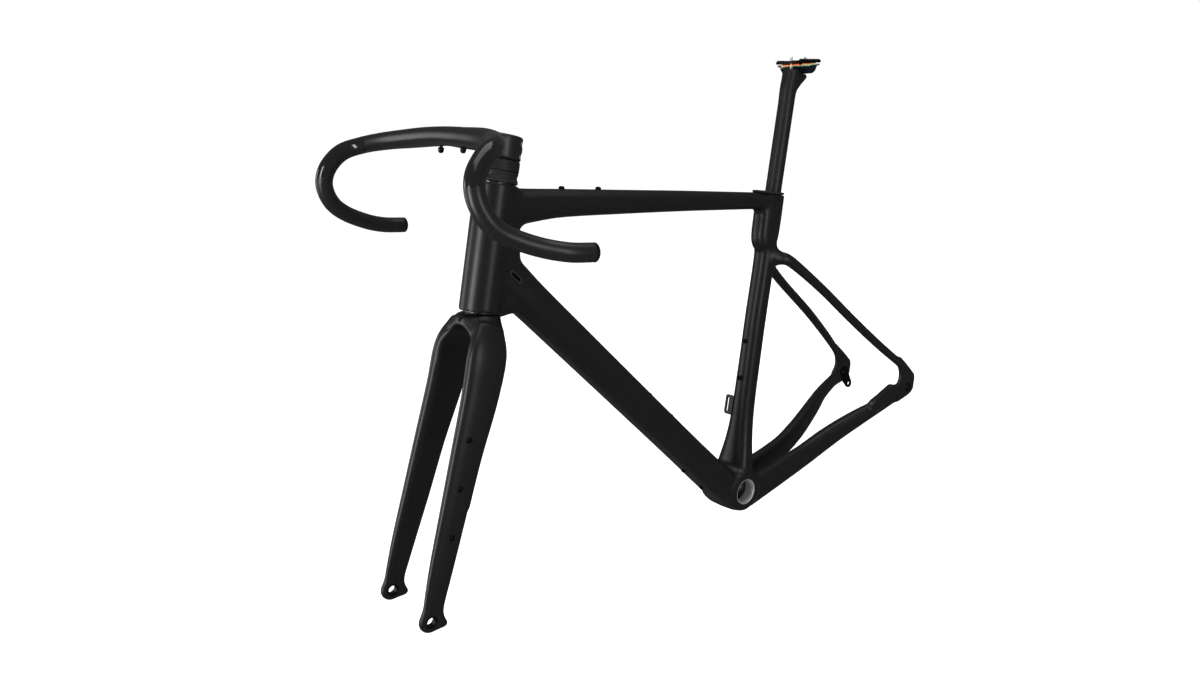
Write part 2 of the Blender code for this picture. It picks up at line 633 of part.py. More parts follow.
def make_cable_port(down):
    """Rubber grommet in a slanted hole on the left of the down tube."""
    along, outward = Vector(DOWN_TUBE_DIRECTION), Vector((0, -1, 0))
    matrix = Matrix((along, outward.cross(along), outward)).transposed().to_4x4()
    matrix.translation = Vector((-390.0, 0, 468.3)) * MM
    hole = stadium(9.0, 4.2 + GAP)
    boolean(down, plate("cable_port_hole", hole, 12, 40, matrix, collection=CUTTERS))
    grommet = plate("cable_port_grommet", stadium(9.0, 4.2), 21.5, 26.8, matrix, RUBBER)
    boolean(grommet, plate("cable_slot", stadium(7.0, 1.8), 10, 40, matrix, collection=CUTTERS))


def stadium(half_length, radius):
    """Outline with round ends; half_length is measured to the centres of its ends."""
    return arc(half_length, 0, radius, -90, 90, 6) + arc(-half_length, 0, radius, 90, 270, 6)


def make_seat_clamp(seat):
    """Wedge clamp ahead of the seatpost, its bolt, and the rubber cover over both."""
    middle = 482.0
    pocket = placed(*on_seat_axis(middle, 19.0), axis=SEAT_UP)
    boolean(seat, block("wedge_pocket", (15.0, 19.0, 90.0), pocket))
    wedge = block("seat_clamp_wedge", (13.0, 17.5, 26.0), placed(*on_seat_axis(490, 19.2), axis=SEAT_UP),
                  PARTS, ALUMINIUM, bevel=0.8)
    boolean(wedge, cylinder("wedge_face", POST_RADIUS + GAP, 400, 540, seat_matrix(), sides=STEPS))
    screw = placed(*on_seat_axis(503.5, 20.5), axis=SEAT_UP)
    boolean(wedge, cylinder("wedge_thread", 3.0, -40, 4, screw, sides=SMALL_STEPS))
    bolt("seat_clamp_bolt", screw, head=4.2, height=3.0, shank=2.5, length=24)
    make_clamp_cover()


def make_clamp_cover():
    """Rubber cover: long and pointed ahead of the post, round behind it, tilted with the top tube."""
    outline = arc(0, 0, 19.4, -90, 90, 9) + [(-16, 18.4), (-32, 16.0), (-41, 11.0), (-45.0, 4.5),
                                             (-45.0, -4.5),
                                            (-41, -11.0), (-32, -16.0), (-16, -18.4)]
    matrix = placed(*on_seat_axis(COVER_HEIGHT_ON_SEAT_AXIS), axis=COVER_NORMAL)
    cover = plate("seat_clamp_cover", outline, -1.6, 2.8, matrix, RUBBER)
    round_edges(cover, 1.4, segments=2)
    boolean(cover, cylinder("cover_hole", POST_RADIUS + GAP, 480, 560, seat_matrix(), sides=STEPS))


# ---- Headset ----------------------------------------------------------------------------------
def make_headset():
    """Two cartridge bearings, each an outer race in the head tube and an inner race that turns."""
    for word, top in (("upper", -0.6), ("lower", -HEAD_TUBE_LENGTH + BEARING_HEIGHT + 0.6)):
        low, middle = top - BEARING_HEIGHT, top - BEARING_HEIGHT / 2
        outer = [(BEARING_RADIUS, top), (BEARING_RADIUS, low), (24.2, low), (24.2, middle - 1.4),
                 (24.8, middle), (24.2, middle + 1.4), (24.2, top)]
        inner = [(21.8, top), (21.8, middle + 1.4), (21.2, middle), (21.8, middle - 1.4), (21.8, low),
                 (BEARING_BORE_RADIUS, low), (BEARING_BORE_RADIUS, top)]
        turned(f"{word}_bearing_outer_race", outer, head_matrix(), STEEL)
        attach(turned(f"{word}_bearing_inner_race", inner, head_matrix(), STEEL), STEERING)
    compression = [(17.5, 3.0), (19.4, -0.6), (19.4, -5.5), (STEERER_RADIUS + GAP, -5.5), (STEERER_RADIUS +
                   GAP, 3.0)]
    cover = [(26.9, COVER_HEIGHT), (27.6, COVER_HEIGHT - 0.8), (26.2, 9.0), (28.2, 4.0), (28.2, 0.8),
             (27.6, 0.4),
             (20.2, 0.4), (20.2, 4.0), (STEERER_RADIUS + GAP, 4.0), (STEERER_RADIUS + GAP, COVER_HEIGHT)]
    bottom = COVER_HEIGHT + GAP
    spacer = [(27.2, bottom + SPACER_HEIGHT), (27.9, bottom + SPACER_HEIGHT - 0.7), (27.9, bottom + 0.7),
              (27.2, bottom), (STEERER_RADIUS + GAP, bottom), (STEERER_RADIUS + GAP, bottom + SPACER_HEIGHT)]
    attach(turned("compression_ring", compression, head_matrix(), ALUMINIUM, steps=24), STEERING)
    attach(turned("headset_cover", cover, head_matrix(), MATTE_BLACK), STEERING)
    attach(turned("headset_spacer", spacer, head_matrix(), MATTE_BLACK), STEERING)


# ---- Fork -------------------------------------------------------------------------------------
CROWN = [(-0.9, 0.0, 27.6, 27.6, 2.0), (-3, 0.0, 28.2, 28.8, 2.0), (-14, -0.6, 28.0, 39.5, 2.2),
         (-28, -1.2, 27.8, 49.5, 2.5), (-42, -1.8, 27.6, 55.0, 2.8), (-56, -2.5, 26.6, 56.6, 3.0),
         (-66, -3.5, 25.4, 56.4, 3.0)]


def crown_rows():
    """Crown sections, square to the steering axis: height below the head tube, offset, half sizes."""
    rows = []
    for height, offset, depth, width, power in CROWN:
        centre = on_head_axis(height - HEAD_TUBE_LENGTH) + Vector((HEAD_UP.z, 0, -HEAD_UP.x)) * offset
        rows.append((*centre, depth, width, power))
    return rows


def make_fork():
    fork = turned("fork", steerer_profile(), head_matrix(), SATIN_CARBON)
    crown = loft("fork_crown", crown_rows(), None, sides=24, between=0, collection=CUTTERS)
    boolean(fork, crown, "UNION")
    for side, word in ((-1, "left"), (1, "right")):
        flip = mirrored if side < 0 else list
        leg = loft(f"fork_leg_{word}", flip(FORK_LEG), None, sides=18, between=0, collection=CUTTERS)
        boolean(fork, leg, "UNION")
        outline = arc(FRONT_AXLE_X, AXLE_HEIGHT, 15.5, 70, 262, 12) + [(-600, 52.0)] + \
            arc(-589, 56.5, 5.0, -90, 40, 4) + [(-588, 72), (-586, 84)]
        tip = side_plate(f"fork_end_{word}", outline, FRONT_HUB_HALF, FORK_END_OUTER, side,
                         collection=CUTTERS)
        boolean(fork, tip, "UNION")
    boolean(fork, arch_cutter())
    boolean(fork, cylinder("steerer_bore", STEERER_RADIUS - STEERER_WALL, -260, 90, head_matrix(), sides=24))
    for side, word in ((-1, "left"), (1, "right")):
        axle = placed(FRONT_AXLE_X, 0, AXLE_HEIGHT, axis=(0, side, 0))
        boolean(fork, cylinder(f"front_axle_hole_{word}", AXLE_HOLE_RADIUS, 40, 80, axle, sides=20))
    boolean(fork, brake_recess())
    boolean(fork, cylinder("mudguard_hole", 2.8, 10, 60,
                           placed(*on_head_axis(-HEAD_TUBE_LENGTH - 10.5), axis=(-HEAD_UP.z, 0, HEAD_UP.x)),
                           sides=SMALL_STEPS))
    attach(fork, STEERING)
    make_leg_bolts(fork)


def steerer_profile():
    """Steerer from its top down: straight, then tapering out to the lower bearing's bore."""
    lower = BEARING_BORE_RADIUS - 0.25
    return [(0.0, 58.0), (STEERER_RADIUS, 58.0), (STEERER_RADIUS, -110.0), (lower, -150.0), (lower, -173.5),
            (0.0, -173.5)]


def arch_cutter():
    """Tunnel for the tyre, from the crown's underside down between the legs."""
    spring, half = -HEAD_TUBE_LENGTH - 54.0, 34.5
    outline = [(-half, spring - 110), (half, spring - 110)] + arc(0, spring, half, 0, 180, 13)
    matrix = Matrix((Vector((0, 1, 0)), HEAD_UP, Vector((HEAD_UP.z, 0, -HEAD_UP.x)))).transposed().to_4x4()
    matrix.translation = HEAD_TOP * MM
    return plate("tyre_arch", outline, -75, 75, matrix, collection=CUTTERS)


def brake_recess():
    """Flat on the back of the left leg, where the front brake caliper is bolted."""
    upper, lower = FORK_LEG[4], FORK_LEG[5]
    along = Vector((lower[0] - upper[0], 0, lower[2] - upper[2])).normalized()
    back = Vector((-along.z, 0, along.x))
    centre = Vector(BRAKE_FLAT_CENTRE) + back * (BRAKE_FLAT_DEPTH + 10)
    return block("brake_recess", (20, 30, 76), placed(*centre, axis=-along, forward=back))


def make_leg_bolts(fork):
    """Three rack bolts on the outside of each leg."""
    for side, word in ((-1, "left"), (1, "right")):
        for x, z, surface, place in ((-512.5, 286.5, 58.5, "upper"), (-536.6, 228, 59.4, "middle"),
                                     (-559.5, 168.5, 60.5, "lower")):
            matrix = placed(x, side * (surface + GAP), z, axis=(0, side, 0))
            tapped(fork, f"leg_hole_{word}_{place}", matrix, depth=9.5)
            attach(bolt(f"fork_bolt_{word}_{place}", matrix, head=3.9, height=1.8, length=8), STEERING)


# ---- Handlebar and stem -----------------------------------------------------------------------
def make_handlebar():
    """Drop bar and stem in one hollow moulding, clamped on the steerer."""
    half = smooth_stations(HANDLEBAR, 1)
    chord = Vector((HEAD_UP.z, 0, -HEAD_UP.x))
    outside, inside = mirrored_rings(half, chord), mirrored_rings(half, chord, -2.2)
    bar = add_object("handlebar", mesh_from("handlebar", lambda bm: skin(bm, outside)), GLOSS_CARBON)
    cavity = add_object("bar_cavity", mesh_from("bar_cavity", lambda bm: skin(bm, inside)), None, CUTTERS)
    stem = loft("stem_body", [(*on_head_axis(45.5), 13.6, 26.0, 3.2), (-392, 0, 646.2, 14.6, 25.5, 3.2),
                              (-418, 0, 652.4, 13.4, 24.0, 3.0), (-447, 0, 658.4, 10.8, 23.0, 2.8)],
                None, between=0, collection=CUTTERS)
    clamp = turned("stem_clamp", [(0, CLAMP_TOP), (CLAMP_RADIUS - 1.5, CLAMP_TOP),
                                  (CLAMP_RADIUS, CLAMP_TOP - 1.5),
                                  (CLAMP_RADIUS, CLAMP_BOTTOM), (0, CLAMP_BOTTOM)],
                   head_matrix(), None, collection=CUTTERS)
    boolean(bar, stem, "UNION")
    boolean(bar, clamp, "UNION")
    boolean(bar, cavity)
    bore, recess = STEERER_RADIUS + GAP, CLAMP_TOP - 2.6
    bore_profile = [(0, 85), (17.4, 85), (17.4, recess), (bore, recess), (bore, 15), (0, 15)]
    boolean(bar, turned("clamp_bore", bore_profile, head_matrix(), None, steps=STEPS - 1, collection=CUTTERS))
    attach(bar, STEERING)
    add_clamp_slot(bar)
    for y, word in ((-28, "left"), (28, "right")):
        matrix = placed(-440.0, y, 643.4, axis=-HEAD_UP)
        tapped(bar, f"bar_hole_{word}", matrix, radius=2.6, depth=7)
        attach(bolt(f"handlebar_bolt_{word}", matrix, head=3.8, height=7.0, shank=2.2, length=6), STEERING)


def mirrored_rings(half, chord, grow=0.0):
    """Rings from the bar's left end to its right end, from those of its right half."""
    right = loft_rings(half, chord, 14, grow)
    if grow < 0:
        right[-1] = [point + (point - before) * 0.2 for point, before in zip(right[-1], right[-2])]
    flip = Matrix.Diagonal((1, -1, 1))
    return [[flip @ point for point in ring] for ring in reversed(right[1:])] + right


def add_clamp_slot(bar):
    """Slot behind the steerer, closed by two bolts that cross it."""
    back = Vector((HEAD_UP.z, 0, -HEAD_UP.x))
    middle = (CLAMP_BOTTOM + CLAMP_TOP) / 2
    slot = placed(*(on_head_axis(middle) + back * 22), axis=HEAD_UP)
    boolean(bar, block("clamp_slot", (24, 2.0, 60), slot))
    for height, word in ((CLAMP_BOTTOM + 7.5, "lower"), (CLAMP_TOP - 8.0, "upper")):
        centre = on_head_axis(height) + back * 20.3
        matrix = placed(centre.x, -10.0, centre.z, axis=(0, -1, 0))
        boolean(bar, cylinder(f"clamp_hole_{word}", 2.8, -20, 1, matrix, sides=SMALL_STEPS))
        boolean(bar, cylinder(f"clamp_counterbore_{word}", 4.7, -GAP, 30, matrix, sides=16))
        attach(bolt(f"stem_clamp_bolt_{word}", matrix, head=4.2, height=4.0, shank=2.4, length=18,
                    material=STEEL), STEERING)


def make_steerer_fittings():
    """Expanding plug inside the steerer, the cap on the stem and the bolt that joins them."""
    plug = [(11.4, 55.0), (11.7, 54.0), (11.7, 26.0), (10.8, 25.0), (3.0, 25.0), (3.0, 55.0)]
    cap = [(5.0, CLAMP_TOP + 1.2), (15.6, CLAMP_TOP + 1.2), (17.0, CLAMP_TOP + 0.2), (17.0, CLAMP_TOP - 2.2),
           (3.0, CLAMP_TOP - 2.2), (3.0, CLAMP_TOP - 0.2), (5.0, CLAMP_TOP - 0.2)]
    attach(turned("expander_plug", plug, head_matrix(), ALUMINIUM, steps=24), STEERING)
    attach(turned("steerer_cap", cap, head_matrix(), MATTE_BLACK), STEERING)
    attach(bolt("steerer_cap_bolt", head_matrix(CLAMP_TOP + 0.1), head=4.4, height=2.4, shank=2.5, length=30),
           STEERING)


def make_bar_plugs():
    for side, word in ((-1, "left"), (1, "right")):
        tip = Vector(HANDLEBAR[-1][:3])
        before = Vector(smooth_stations(HANDLEBAR, 2)[-2][:3])
        out = (tip - before).normalized()
        tip.y *= side
        out.y *= side
        profile = [(0, 2.8), (7.5, 2.8), (10.4, 1.8), (11.3, 0.3), (8.6, 0.3), (8.4, -14), (0, -14)]
        attach(turned(f"bar_plug_{word}", profile, placed(*tip, axis=out), RUBBER, steps=16), STEERING)


# ---- Seatpost and saddle clamp ----------------------------------------------------------------
def make_seatpost():
    profile = [(0.0, POST_HEAD - 6), (POST_RADIUS, POST_HEAD - 6), (POST_RADIUS, POST_BOTTOM),
               (POST_BORE_RADIUS, POST_BOTTOM), (POST_BORE_RADIUS, POST_HEAD - 30), (0.0, POST_HEAD - 24)]
    post = turned("seatpost", profile, seat_matrix(), GLOSS_CARBON)
    neck = on_seat_axis(POST_HEAD - 40)
    head = loft("post_head", [(*neck, 13.3, 13.3, 2.0), (205.5, 0, 652, 14.2, 13.6, 2.2),
                              (215, 0, 667, 17.5, 14.4, 2.6),
                              (227.5, 0, 683, 24.5, 15.0, 3.0)], None, between=0, collection=CUTTERS)
    boolean(post, head, "UNION")
    across = placed(SADDLE_CLAMP_X, 0, SADDLE_CLAMP_Z, axis=(0, 1, 0))
    boolean(post, cylinder("cradle_seat", CRADLE_RADIUS + GAP, -40, 40, across, sides=40))
    boolean(post, block("clamp_clearance", (90, 60, 40), on_clamp(placed(0, 0, HEAD_TOP_BELOW_CLAMP + 20))))
    for offset in BOLT_OFFSETS:
        slot = on_clamp(placed(offset, 0, -20))
        boolean(post, block(f"clamp_slot_{offset}", (9.5, 7.0, 46), slot))
    attach(post, POST)


def make_saddle_clamp():
    """Cradle and upper clamp that hold the saddle rails, and the two bolts up through them."""
    cradle = plate("saddle_clamp_cradle", cradle_outline(), -27.5, 27.5, on_clamp(), BRONZE)
    top = plate("saddle_clamp_top", top_outline(), -27.5, 27.5, on_clamp(), MATTE_BLACK)
    for side in (-1, 1):
        rail = on_clamp(placed(0, side * RAIL_HALF_SPACING, 1.0, axis=(1, 0, 0), forward=(0, 0, 1)))
        groove = cylinder(f"rail_groove_{side}", RAIL_RADIUS + 0.1, -60, 60, rail, sides=16)
        boolean(cradle, groove)
        boolean(top, groove)
    for offset, word in zip(BOLT_OFFSETS, ("front", "rear")):
        matrix = on_clamp(placed(offset, 0, -4.9, axis=(0, 0, -1)))
        for piece in (cradle, top):
            boolean(piece, cylinder(f"{piece.name}_hole_{word}", 2.8, -20, 20, matrix, sides=SMALL_STEPS))
        attach(bolt(f"saddle_clamp_bolt_{word}", matrix, head=3.1, height=2.3, shank=2.2, length=17.5,
                    material=STEEL), TILT)
    for piece in (cradle, top):
        attach(piece, TILT)


def on_clamp(local=SIDE_VIEW):
    """Matrix of something placed in the saddle clamp's own frame, which rests nose up."""
    turn = Matrix.Rotation(math.radians(SADDLE_TILT), 4, "Y")
    return Matrix.Translation(Vector((SADDLE_CLAMP_X, 0, SADDLE_CLAMP_Z)) * MM) @ turn @ local


def cradle_outline():
    """Side view of the cradle: flat where the rails lie, round below, to tilt in the post's head."""
    underside = arc(0, 0, CRADLE_RADIUS, 194, 346, 13)
    return [(23.0, 0.7), (-23.0, 0.7), (-23.0, -3.0)] + underside + [(23.0, -3.0)]


def top_outline():
    return [(-25.0, 1.3), (25.0, 1.3), (26.5, 3.0), (25.0, 7.6), (20.0, 8.3), (-20.0, 8.3), (-25.0, 7.6),
            (-26.5, 3.0)]


def build():
    make_head_tube()
    top, down, seat, seat_cutter = make_main_tubes()
    make_bottom_bracket()
    make_rear_triangle(seat_cutter)
    make_hanger()
    make_tube_bolts(top, down, seat)
    make_cable_port(down)
    make_front_derailleur_bracket(seat_cutter)
    make_seat_clamp(seat)
    make_headset()
    make_fork()
    make_handlebar()
    make_steerer_fittings()
    make_bar_plugs()
    make_seatpost()
    make_saddle_clamp()


build()
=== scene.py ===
"""The moulded carbon pieces are level sets: their tubes are joined in a grid of signed distances, where fillets,
bores and soft edges are made, and then meshed. Turned pieces, bolts and rubber parts are meshes of their own.
Lengths are in millimetres until a mesh is made.
"""
import json
import math

import bmesh
import bpy
import numpy as np
import openvdb as vdb
from mathutils import Matrix, Vector
from mathutils.geometry import tessellate_polygon


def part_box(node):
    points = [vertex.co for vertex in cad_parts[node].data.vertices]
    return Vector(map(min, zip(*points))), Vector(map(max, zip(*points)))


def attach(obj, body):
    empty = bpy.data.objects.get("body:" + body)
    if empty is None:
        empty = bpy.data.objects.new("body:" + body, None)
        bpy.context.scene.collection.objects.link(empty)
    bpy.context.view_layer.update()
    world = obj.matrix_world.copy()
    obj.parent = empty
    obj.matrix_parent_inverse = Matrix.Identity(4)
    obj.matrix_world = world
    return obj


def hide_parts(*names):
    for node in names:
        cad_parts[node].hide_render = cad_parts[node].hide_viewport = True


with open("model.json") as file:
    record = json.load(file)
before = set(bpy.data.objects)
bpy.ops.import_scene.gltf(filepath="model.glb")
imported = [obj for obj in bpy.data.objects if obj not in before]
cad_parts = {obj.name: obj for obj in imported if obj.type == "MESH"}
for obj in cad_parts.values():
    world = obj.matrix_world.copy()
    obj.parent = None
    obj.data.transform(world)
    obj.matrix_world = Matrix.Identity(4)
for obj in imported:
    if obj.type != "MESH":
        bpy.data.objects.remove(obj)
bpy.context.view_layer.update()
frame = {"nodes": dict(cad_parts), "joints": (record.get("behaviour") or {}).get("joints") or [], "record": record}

MM = 0.001
GAP = 0.3
CUT_BAND = 6                  # half width, in voxels, of the level set of a shape that is cut away
JOINTS = {joint["name"]: joint for joint in frame["joints"]}


# ---- Places, from the frame ---------------------------------------------------------------------
def node_box(name):
    low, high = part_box(name)
    return low / MM, high / MM


HEAD_TOP = Vector(JOINTS["steering"]["pos_m"]) / MM
HEAD_UP = Vector(JOINTS["steering"]["axis"]).normalized()
HEAD_BACK = Vector((HEAD_UP.z, 0, -HEAD_UP.x))
SEAT_UP = Vector(JOINTS["seatpost_height"]["axis"]).normalized()
SEAT_AHEAD = Vector((-SEAT_UP.z, 0, SEAT_UP.x))
CLAMP_CENTRE = Vector(JOINTS["saddle_tilt"]["pos_m"]) / MM
SHELL_HALF = node_box("bottom_bracket_shell")[1].y
INSERT_RADIUS = node_box("bottom_bracket_insert_left")[1].z
HEAD_LENGTH = 171.0
HEAD_RADIUS = 28.0
BEARING_BORE, HEAD_BORE = 26.5, 23.2
REAR_AXLE = Vector((425.3, 0, 68.0))
FRONT_AXLE = Vector((-606.8, 0, 68.0))
HUB_FACE_FRONT, HUB_FACE_REAR = 50.5, 71.0
FORK_END_OUTER, DROPOUT_OUTER = 60.3, 79.6
AXLE_HOLE = 6.1
POST_RADIUS = 13.6
STEERER_RADIUS = 14.3
COVER_ON_SEAT_AXIS = 511.0
COVER_NORMAL = Vector((math.sin(math.radians(14)), 0, math.cos(math.radians(14))))
CLAMP_BOTTOM, CLAMP_TOP, CLAMP_RADIUS = 30.3, 62.0, 28.6
SADDLE_TILT = math.radians(4.5)
CLAMP_BOLTS = (-18.2, 18.2)
CLAMP_BOLT_HOLE = 2.9
CLAMP_HALF_WIDTH = 27.5
RAIL_RADIUS, RAIL_ASIDE = 3.6, 22.0
STEERER_BORE = STEERER_RADIUS - 2.3
POST_BORE = 11.4
HUB_FACE_STEP = 1.6           # depth of the round recess for the axle's head, in each dropout
ACCESSORY_BOLTS = [(-440.0, y, 643.4) for y in (-28, 28)]
BOLT_SHANK, BOLT_HEAD = 2.2, 2.6


def on_head(height, back=0.0):
    return HEAD_TOP + HEAD_UP * height + HEAD_BACK * back


def on_seat(distance, ahead=0.0):
    return SEAT_UP * distance + SEAT_AHEAD * ahead


def placed(point, axis=(0, 0, 1), forward=(1, 0, 0)):
    """Matrix, in millimetres, whose local Z lies along axis at a point."""
    up = Vector(axis).normalized()
    side = up.cross(Vector(forward)).normalized()
    matrix = Matrix((side.cross(up), side, up)).transposed().to_4x4()
    matrix.translation = Vector(point)
    return matrix


def side_view(point=(0, 0, 0)):
    """Matrix for an outline drawn in side view: local X is back, local Y is up, local Z is left."""
    matrix = Matrix(((1, 0, 0), (0, 0, -1), (0, 1, 0))).to_4x4()
    matrix.translation = Vector(point)
    return matrix


HEAD_AXIS = placed(HEAD_TOP, HEAD_UP)
SEAT_AXIS = placed((0, 0, 0), SEAT_UP)
ACROSS = placed((0, 0, 0), axis=(0, 1, 0))


# ---- Solids: (points, triangles, quads) in millimetres -------------------------------------------
def solid(points, triangles=(), quads=()):
    return (np.array(points, np.float32).reshape(-1, 3), np.array(triangles, np.uint32).reshape(-1, 3),
            np.array(quads, np.uint32).reshape(-1, 4))


def joined(solids):
    points, triangles, quads, count = [], [], [], 0
    for some_points, some_triangles, some_quads in solids:
        points.append(some_points)
        triangles.append(some_triangles + count)
        quads.append(some_quads + count)
        count += len(some_points)
    return solid(np.vstack(points), np.vstack(triangles), np.vstack(quads))


def moved(shape, matrix):
    turn = np.array(matrix.to_3x3())
    return solid(shape[0] @ turn.T + np.array(matrix.translation), shape[1], shape[2])


def mirrored(shape):
    """The same solid on the other side of the middle plane."""
    return solid(shape[0] * np.array((1, -1, 1)), shape[1][:, ::-1], shape[2][:, ::-1])


def pair(shape):
    return shape, mirrored(shape)


def smooth_rows(stations, between):
    """Catmull-Rom curve through rows of numbers, with some rows added between each pair."""
    rows = np.array(stations, dtype=float)
    padded = np.vstack((2 * rows[0] - rows[1], rows, 2 * rows[-1] - rows[-2]))
    result = []
    for i in range(1, len(padded) - 2):
        before, start, end, after = padded[i - 1:i + 3]
        for step in range(between + 1):
            t = step / (between + 1)
            result.append(0.5 * (2 * start + (end - before) * t
                                 + (2 * before - 5 * start + 4 * end - after) * t ** 2
                                 + (3 * start - before - 3 * end + after) * t ** 3))
    result.append(padded[-2])
    return np.array(result)


def ring_points(row, normal, side, sides, facets):
    """Superellipse section; each facet (up, across, reach) planes off its two mirrored corners."""
    angle = np.linspace(0, math.tau, sides, endpoint=False)
    c, s = np.cos(angle), np.sin(angle)
    up = np.sign(c) * np.abs(c) ** (2 / row[5])
    across = np.sign(s) * np.abs(s) ** (2 / row[5])
    scale = np.ones(sides)
    for toward, outward, reach in facets:
        spread = toward * up + outward * np.abs(across)
        scale = np.minimum(scale, np.where(spread > 0, reach / np.maximum(spread, 1e-6), 1.0))
    offsets = np.outer(up * scale * row[3], normal) + np.outer(across * scale * row[4], side)
    return row[:3] + offsets


def loft(stations, between=6, sides=56, side=(0, 1, 0), facets=()):
    """Skin through stations of x, y, z, half depth, half width and power, capped at its ends."""
    rows = smooth_rows(stations, between)
    side = Vector(side)
    points = []
    for i, row in enumerate(rows):
        tangent = Vector(rows[min(i + 1, len(rows) - 1)][:3] - rows[max(i - 1, 0)][:3]).normalized()
        side = (side - tangent * side.dot(tangent)).normalized()
        normal = tangent.cross(side)
        points.append(ring_points(row, np.array(normal), np.array(side), sides, facets))
    return ring_solid(points)


def ring_solid(rings, closed_loop=False):
    """Skin over rings of the same number of points, capped at its ends or joined end to end."""
    sides, count = len(rings[0]), len(rings)
    k = np.arange(sides)
    quads = []
    for i in range(count if closed_loop else count - 1):
        low, high = i * sides, (i + 1) % count * sides
        quads.append(np.stack((low + k, low + (k + 1) % sides, high + (k + 1) % sides, high + k), axis=1))
    points = np.vstack(rings)
    triangles = []
    if not closed_loop:
        middle = len(points)
        points = np.vstack((points, rings[0].mean(axis=0), rings[-1].mean(axis=0)))
        last = (count - 1) * sides
        after = (k + 1) % sides
        triangles = np.vstack((np.stack((np.full(sides, middle), after, k), axis=1),
                               np.stack((np.full(sides, middle + 1), last + k, last + after), axis=1)))
    return solid(points, triangles, np.vstack(quads))


def circle(radius, height, sides):
    """Points round local Z; the radius is one number, or one for each point."""
    angle = np.linspace(0, math.tau, sides, endpoint=False)
    return np.stack((np.cos(angle) * radius, np.sin(angle) * radius, np.full(sides, height)), axis=1)


def turned(profile, matrix, sides=96):
    """Profile of (radius, height) turned about local Z; it runs down the outside."""
    rings = [circle(radius, height, sides) for radius, height in profile]
    hollow = profile[0][0] > 0.01 and profile[-1][0] > 0.01
    return moved(ring_solid(rings, closed_loop=hollow), matrix)


def cylinder(radius, low, high, matrix, sides=72):
    return moved(ring_solid([circle(radius, height, sides) for height in (low, high)]), matrix)


def ball(radius, count=13):
    """Profile of a sphere, to be turned."""
    return [(radius * math.sin(a), radius * math.cos(a)) for a in np.linspace(0, math.pi, count)]


def prism(outline, low, high, matrix):
    """Flat outline in the local XY plane, between two local heights."""
    count = len(outline)
    flat = [Vector((x, y, 0)) for x, y in outline]
    cap = np.array(tessellate_polygon([flat]))
    points = [(x, y, h) for h in (low, high) for x, y in outline]
    k = np.arange(count)
    sides = np.stack((k, (k + 1) % count, (k + 1) % count + count, k + count), axis=1)
    return moved(solid(points, np.vstack((cap[:, ::-1], cap + count)), sides), matrix)


def block(size, matrix):
    x, y, z = (half / 2 for half in size)
    return prism([(-x, -y), (x, -y), (x, y), (-x, y)], -z, z, matrix)


def arc(x, y, radius, start, end, count):
    angles = np.radians(np.linspace(start, end, count))
    return [(x + radius * math.cos(a), y + radius * math.sin(a)) for a in angles]


def rounded(points, radius, count=6):
    """Outline with each corner rounded."""
    result = []
    for i, corner in enumerate(points):
        here = Vector(corner)
        before = (Vector(points[i - 1]) - here).normalized()
        after = (Vector(points[(i + 1) % len(points)]) - here).normalized()
        half = before.angle(after) / 2
        reach = radius / math.tan(half)
        start, end = here + before * reach, here + after * reach
        centre = here + (before + after).normalized() * radius / math.sin(half)
        for step in range(count + 1):
            t = step / count
            point = start.lerp(end, t)
            result.append(tuple(centre + (point - centre).normalized() * radius))
    return result


def stadium(half_length, radius, count=12):
    return arc(half_length, 0, radius, -90, 90, count) + arc(-half_length, 0, radius, 90, 270, count)


# ---- Level sets -----------------------------------------------------------------------------------
class Field:
    """Signed distances on a grid, in voxels and negative inside the piece.

    The largest fillet, in millimetres, decides how far from the surface the distances are kept.
    """

    def __init__(self, low, high, voxel, largest_fillet):
        self.voxel = voxel
        self.band = math.ceil(largest_fillet / voxel) + 4
        self.first = np.floor(np.array(low) / voxel).astype(int) - self.band
        last = np.ceil(np.array(high) / voxel).astype(int) + self.band
        self.shape = tuple(int(n) for n in last - self.first)
        self.values = np.full(self.shape, self.band, np.float32)

    def distance(self, shape, band=None):
        points, triangles, quads = shape
        level = vdb.FloatGrid.createLevelSetFromPolygons(
            np.ascontiguousarray(points, np.float32), triangles=np.ascontiguousarray(triangles, np.uint32),
            quads=np.ascontiguousarray(quads, np.uint32), transform=vdb.createLinearTransform(1.0),
            halfWidth=float(band or self.band))
        values = np.empty(self.shape, np.float32)
        level.copyToArray(values, ijk=tuple(int(i) for i in self.first))
        return values

    def of(self, shape, band=None):
        """Distances to a solid that is given in millimetres."""
        return self.distance((shape[0] / self.voxel, shape[1], shape[2]), band)

    def surface(self, offset=0.0):
        level = vdb.FloatGrid(float(self.band))
        level.copyFromArray(self.values, ijk=tuple(int(i) for i in self.first), tolerance=0.01)
        return level.convertToPolygons(isovalue=offset / self.voxel)

    def add(self, *shapes):
        for shape in shapes:
            self.values = np.minimum(self.values, self.of(shape))
        return self

    def cut(self, *shapes):
        for shape in shapes:
            self.values = np.maximum(self.values, -self.of(shape, CUT_BAND))
        return self

    def fillet(self, radius):
        """Fills inner corners as a rolling ball of that radius would."""
        self.values = self.distance(self.surface(radius)) + radius / self.voxel
        return self

    def soften(self, radius):
        """Rounds outer edges with that radius."""
        self.values = self.distance(self.surface(-radius)) - radius / self.voxel
        return self

    def blur(self, passes=1):
        for _ in range(passes):
            for axis in range(3):
                v = np.moveaxis(self.values, axis, 0)
                v[1:-1] = (v[:-2] + 2 * v[1:-1] + v[2:]) / 4
        return self

    def piece(self, name, material):
        points, triangles, quads = self.surface()
        return mesh_piece(name, solid(points * self.voxel, triangles, quads), material, sharp=70)


# ---- Meshes ---------------------------------------------------------------------------------------
def in_scene(name, data):
    made = bpy.data.objects.new(name, data)
    bpy.context.scene.collection.objects.link(made)
    return made


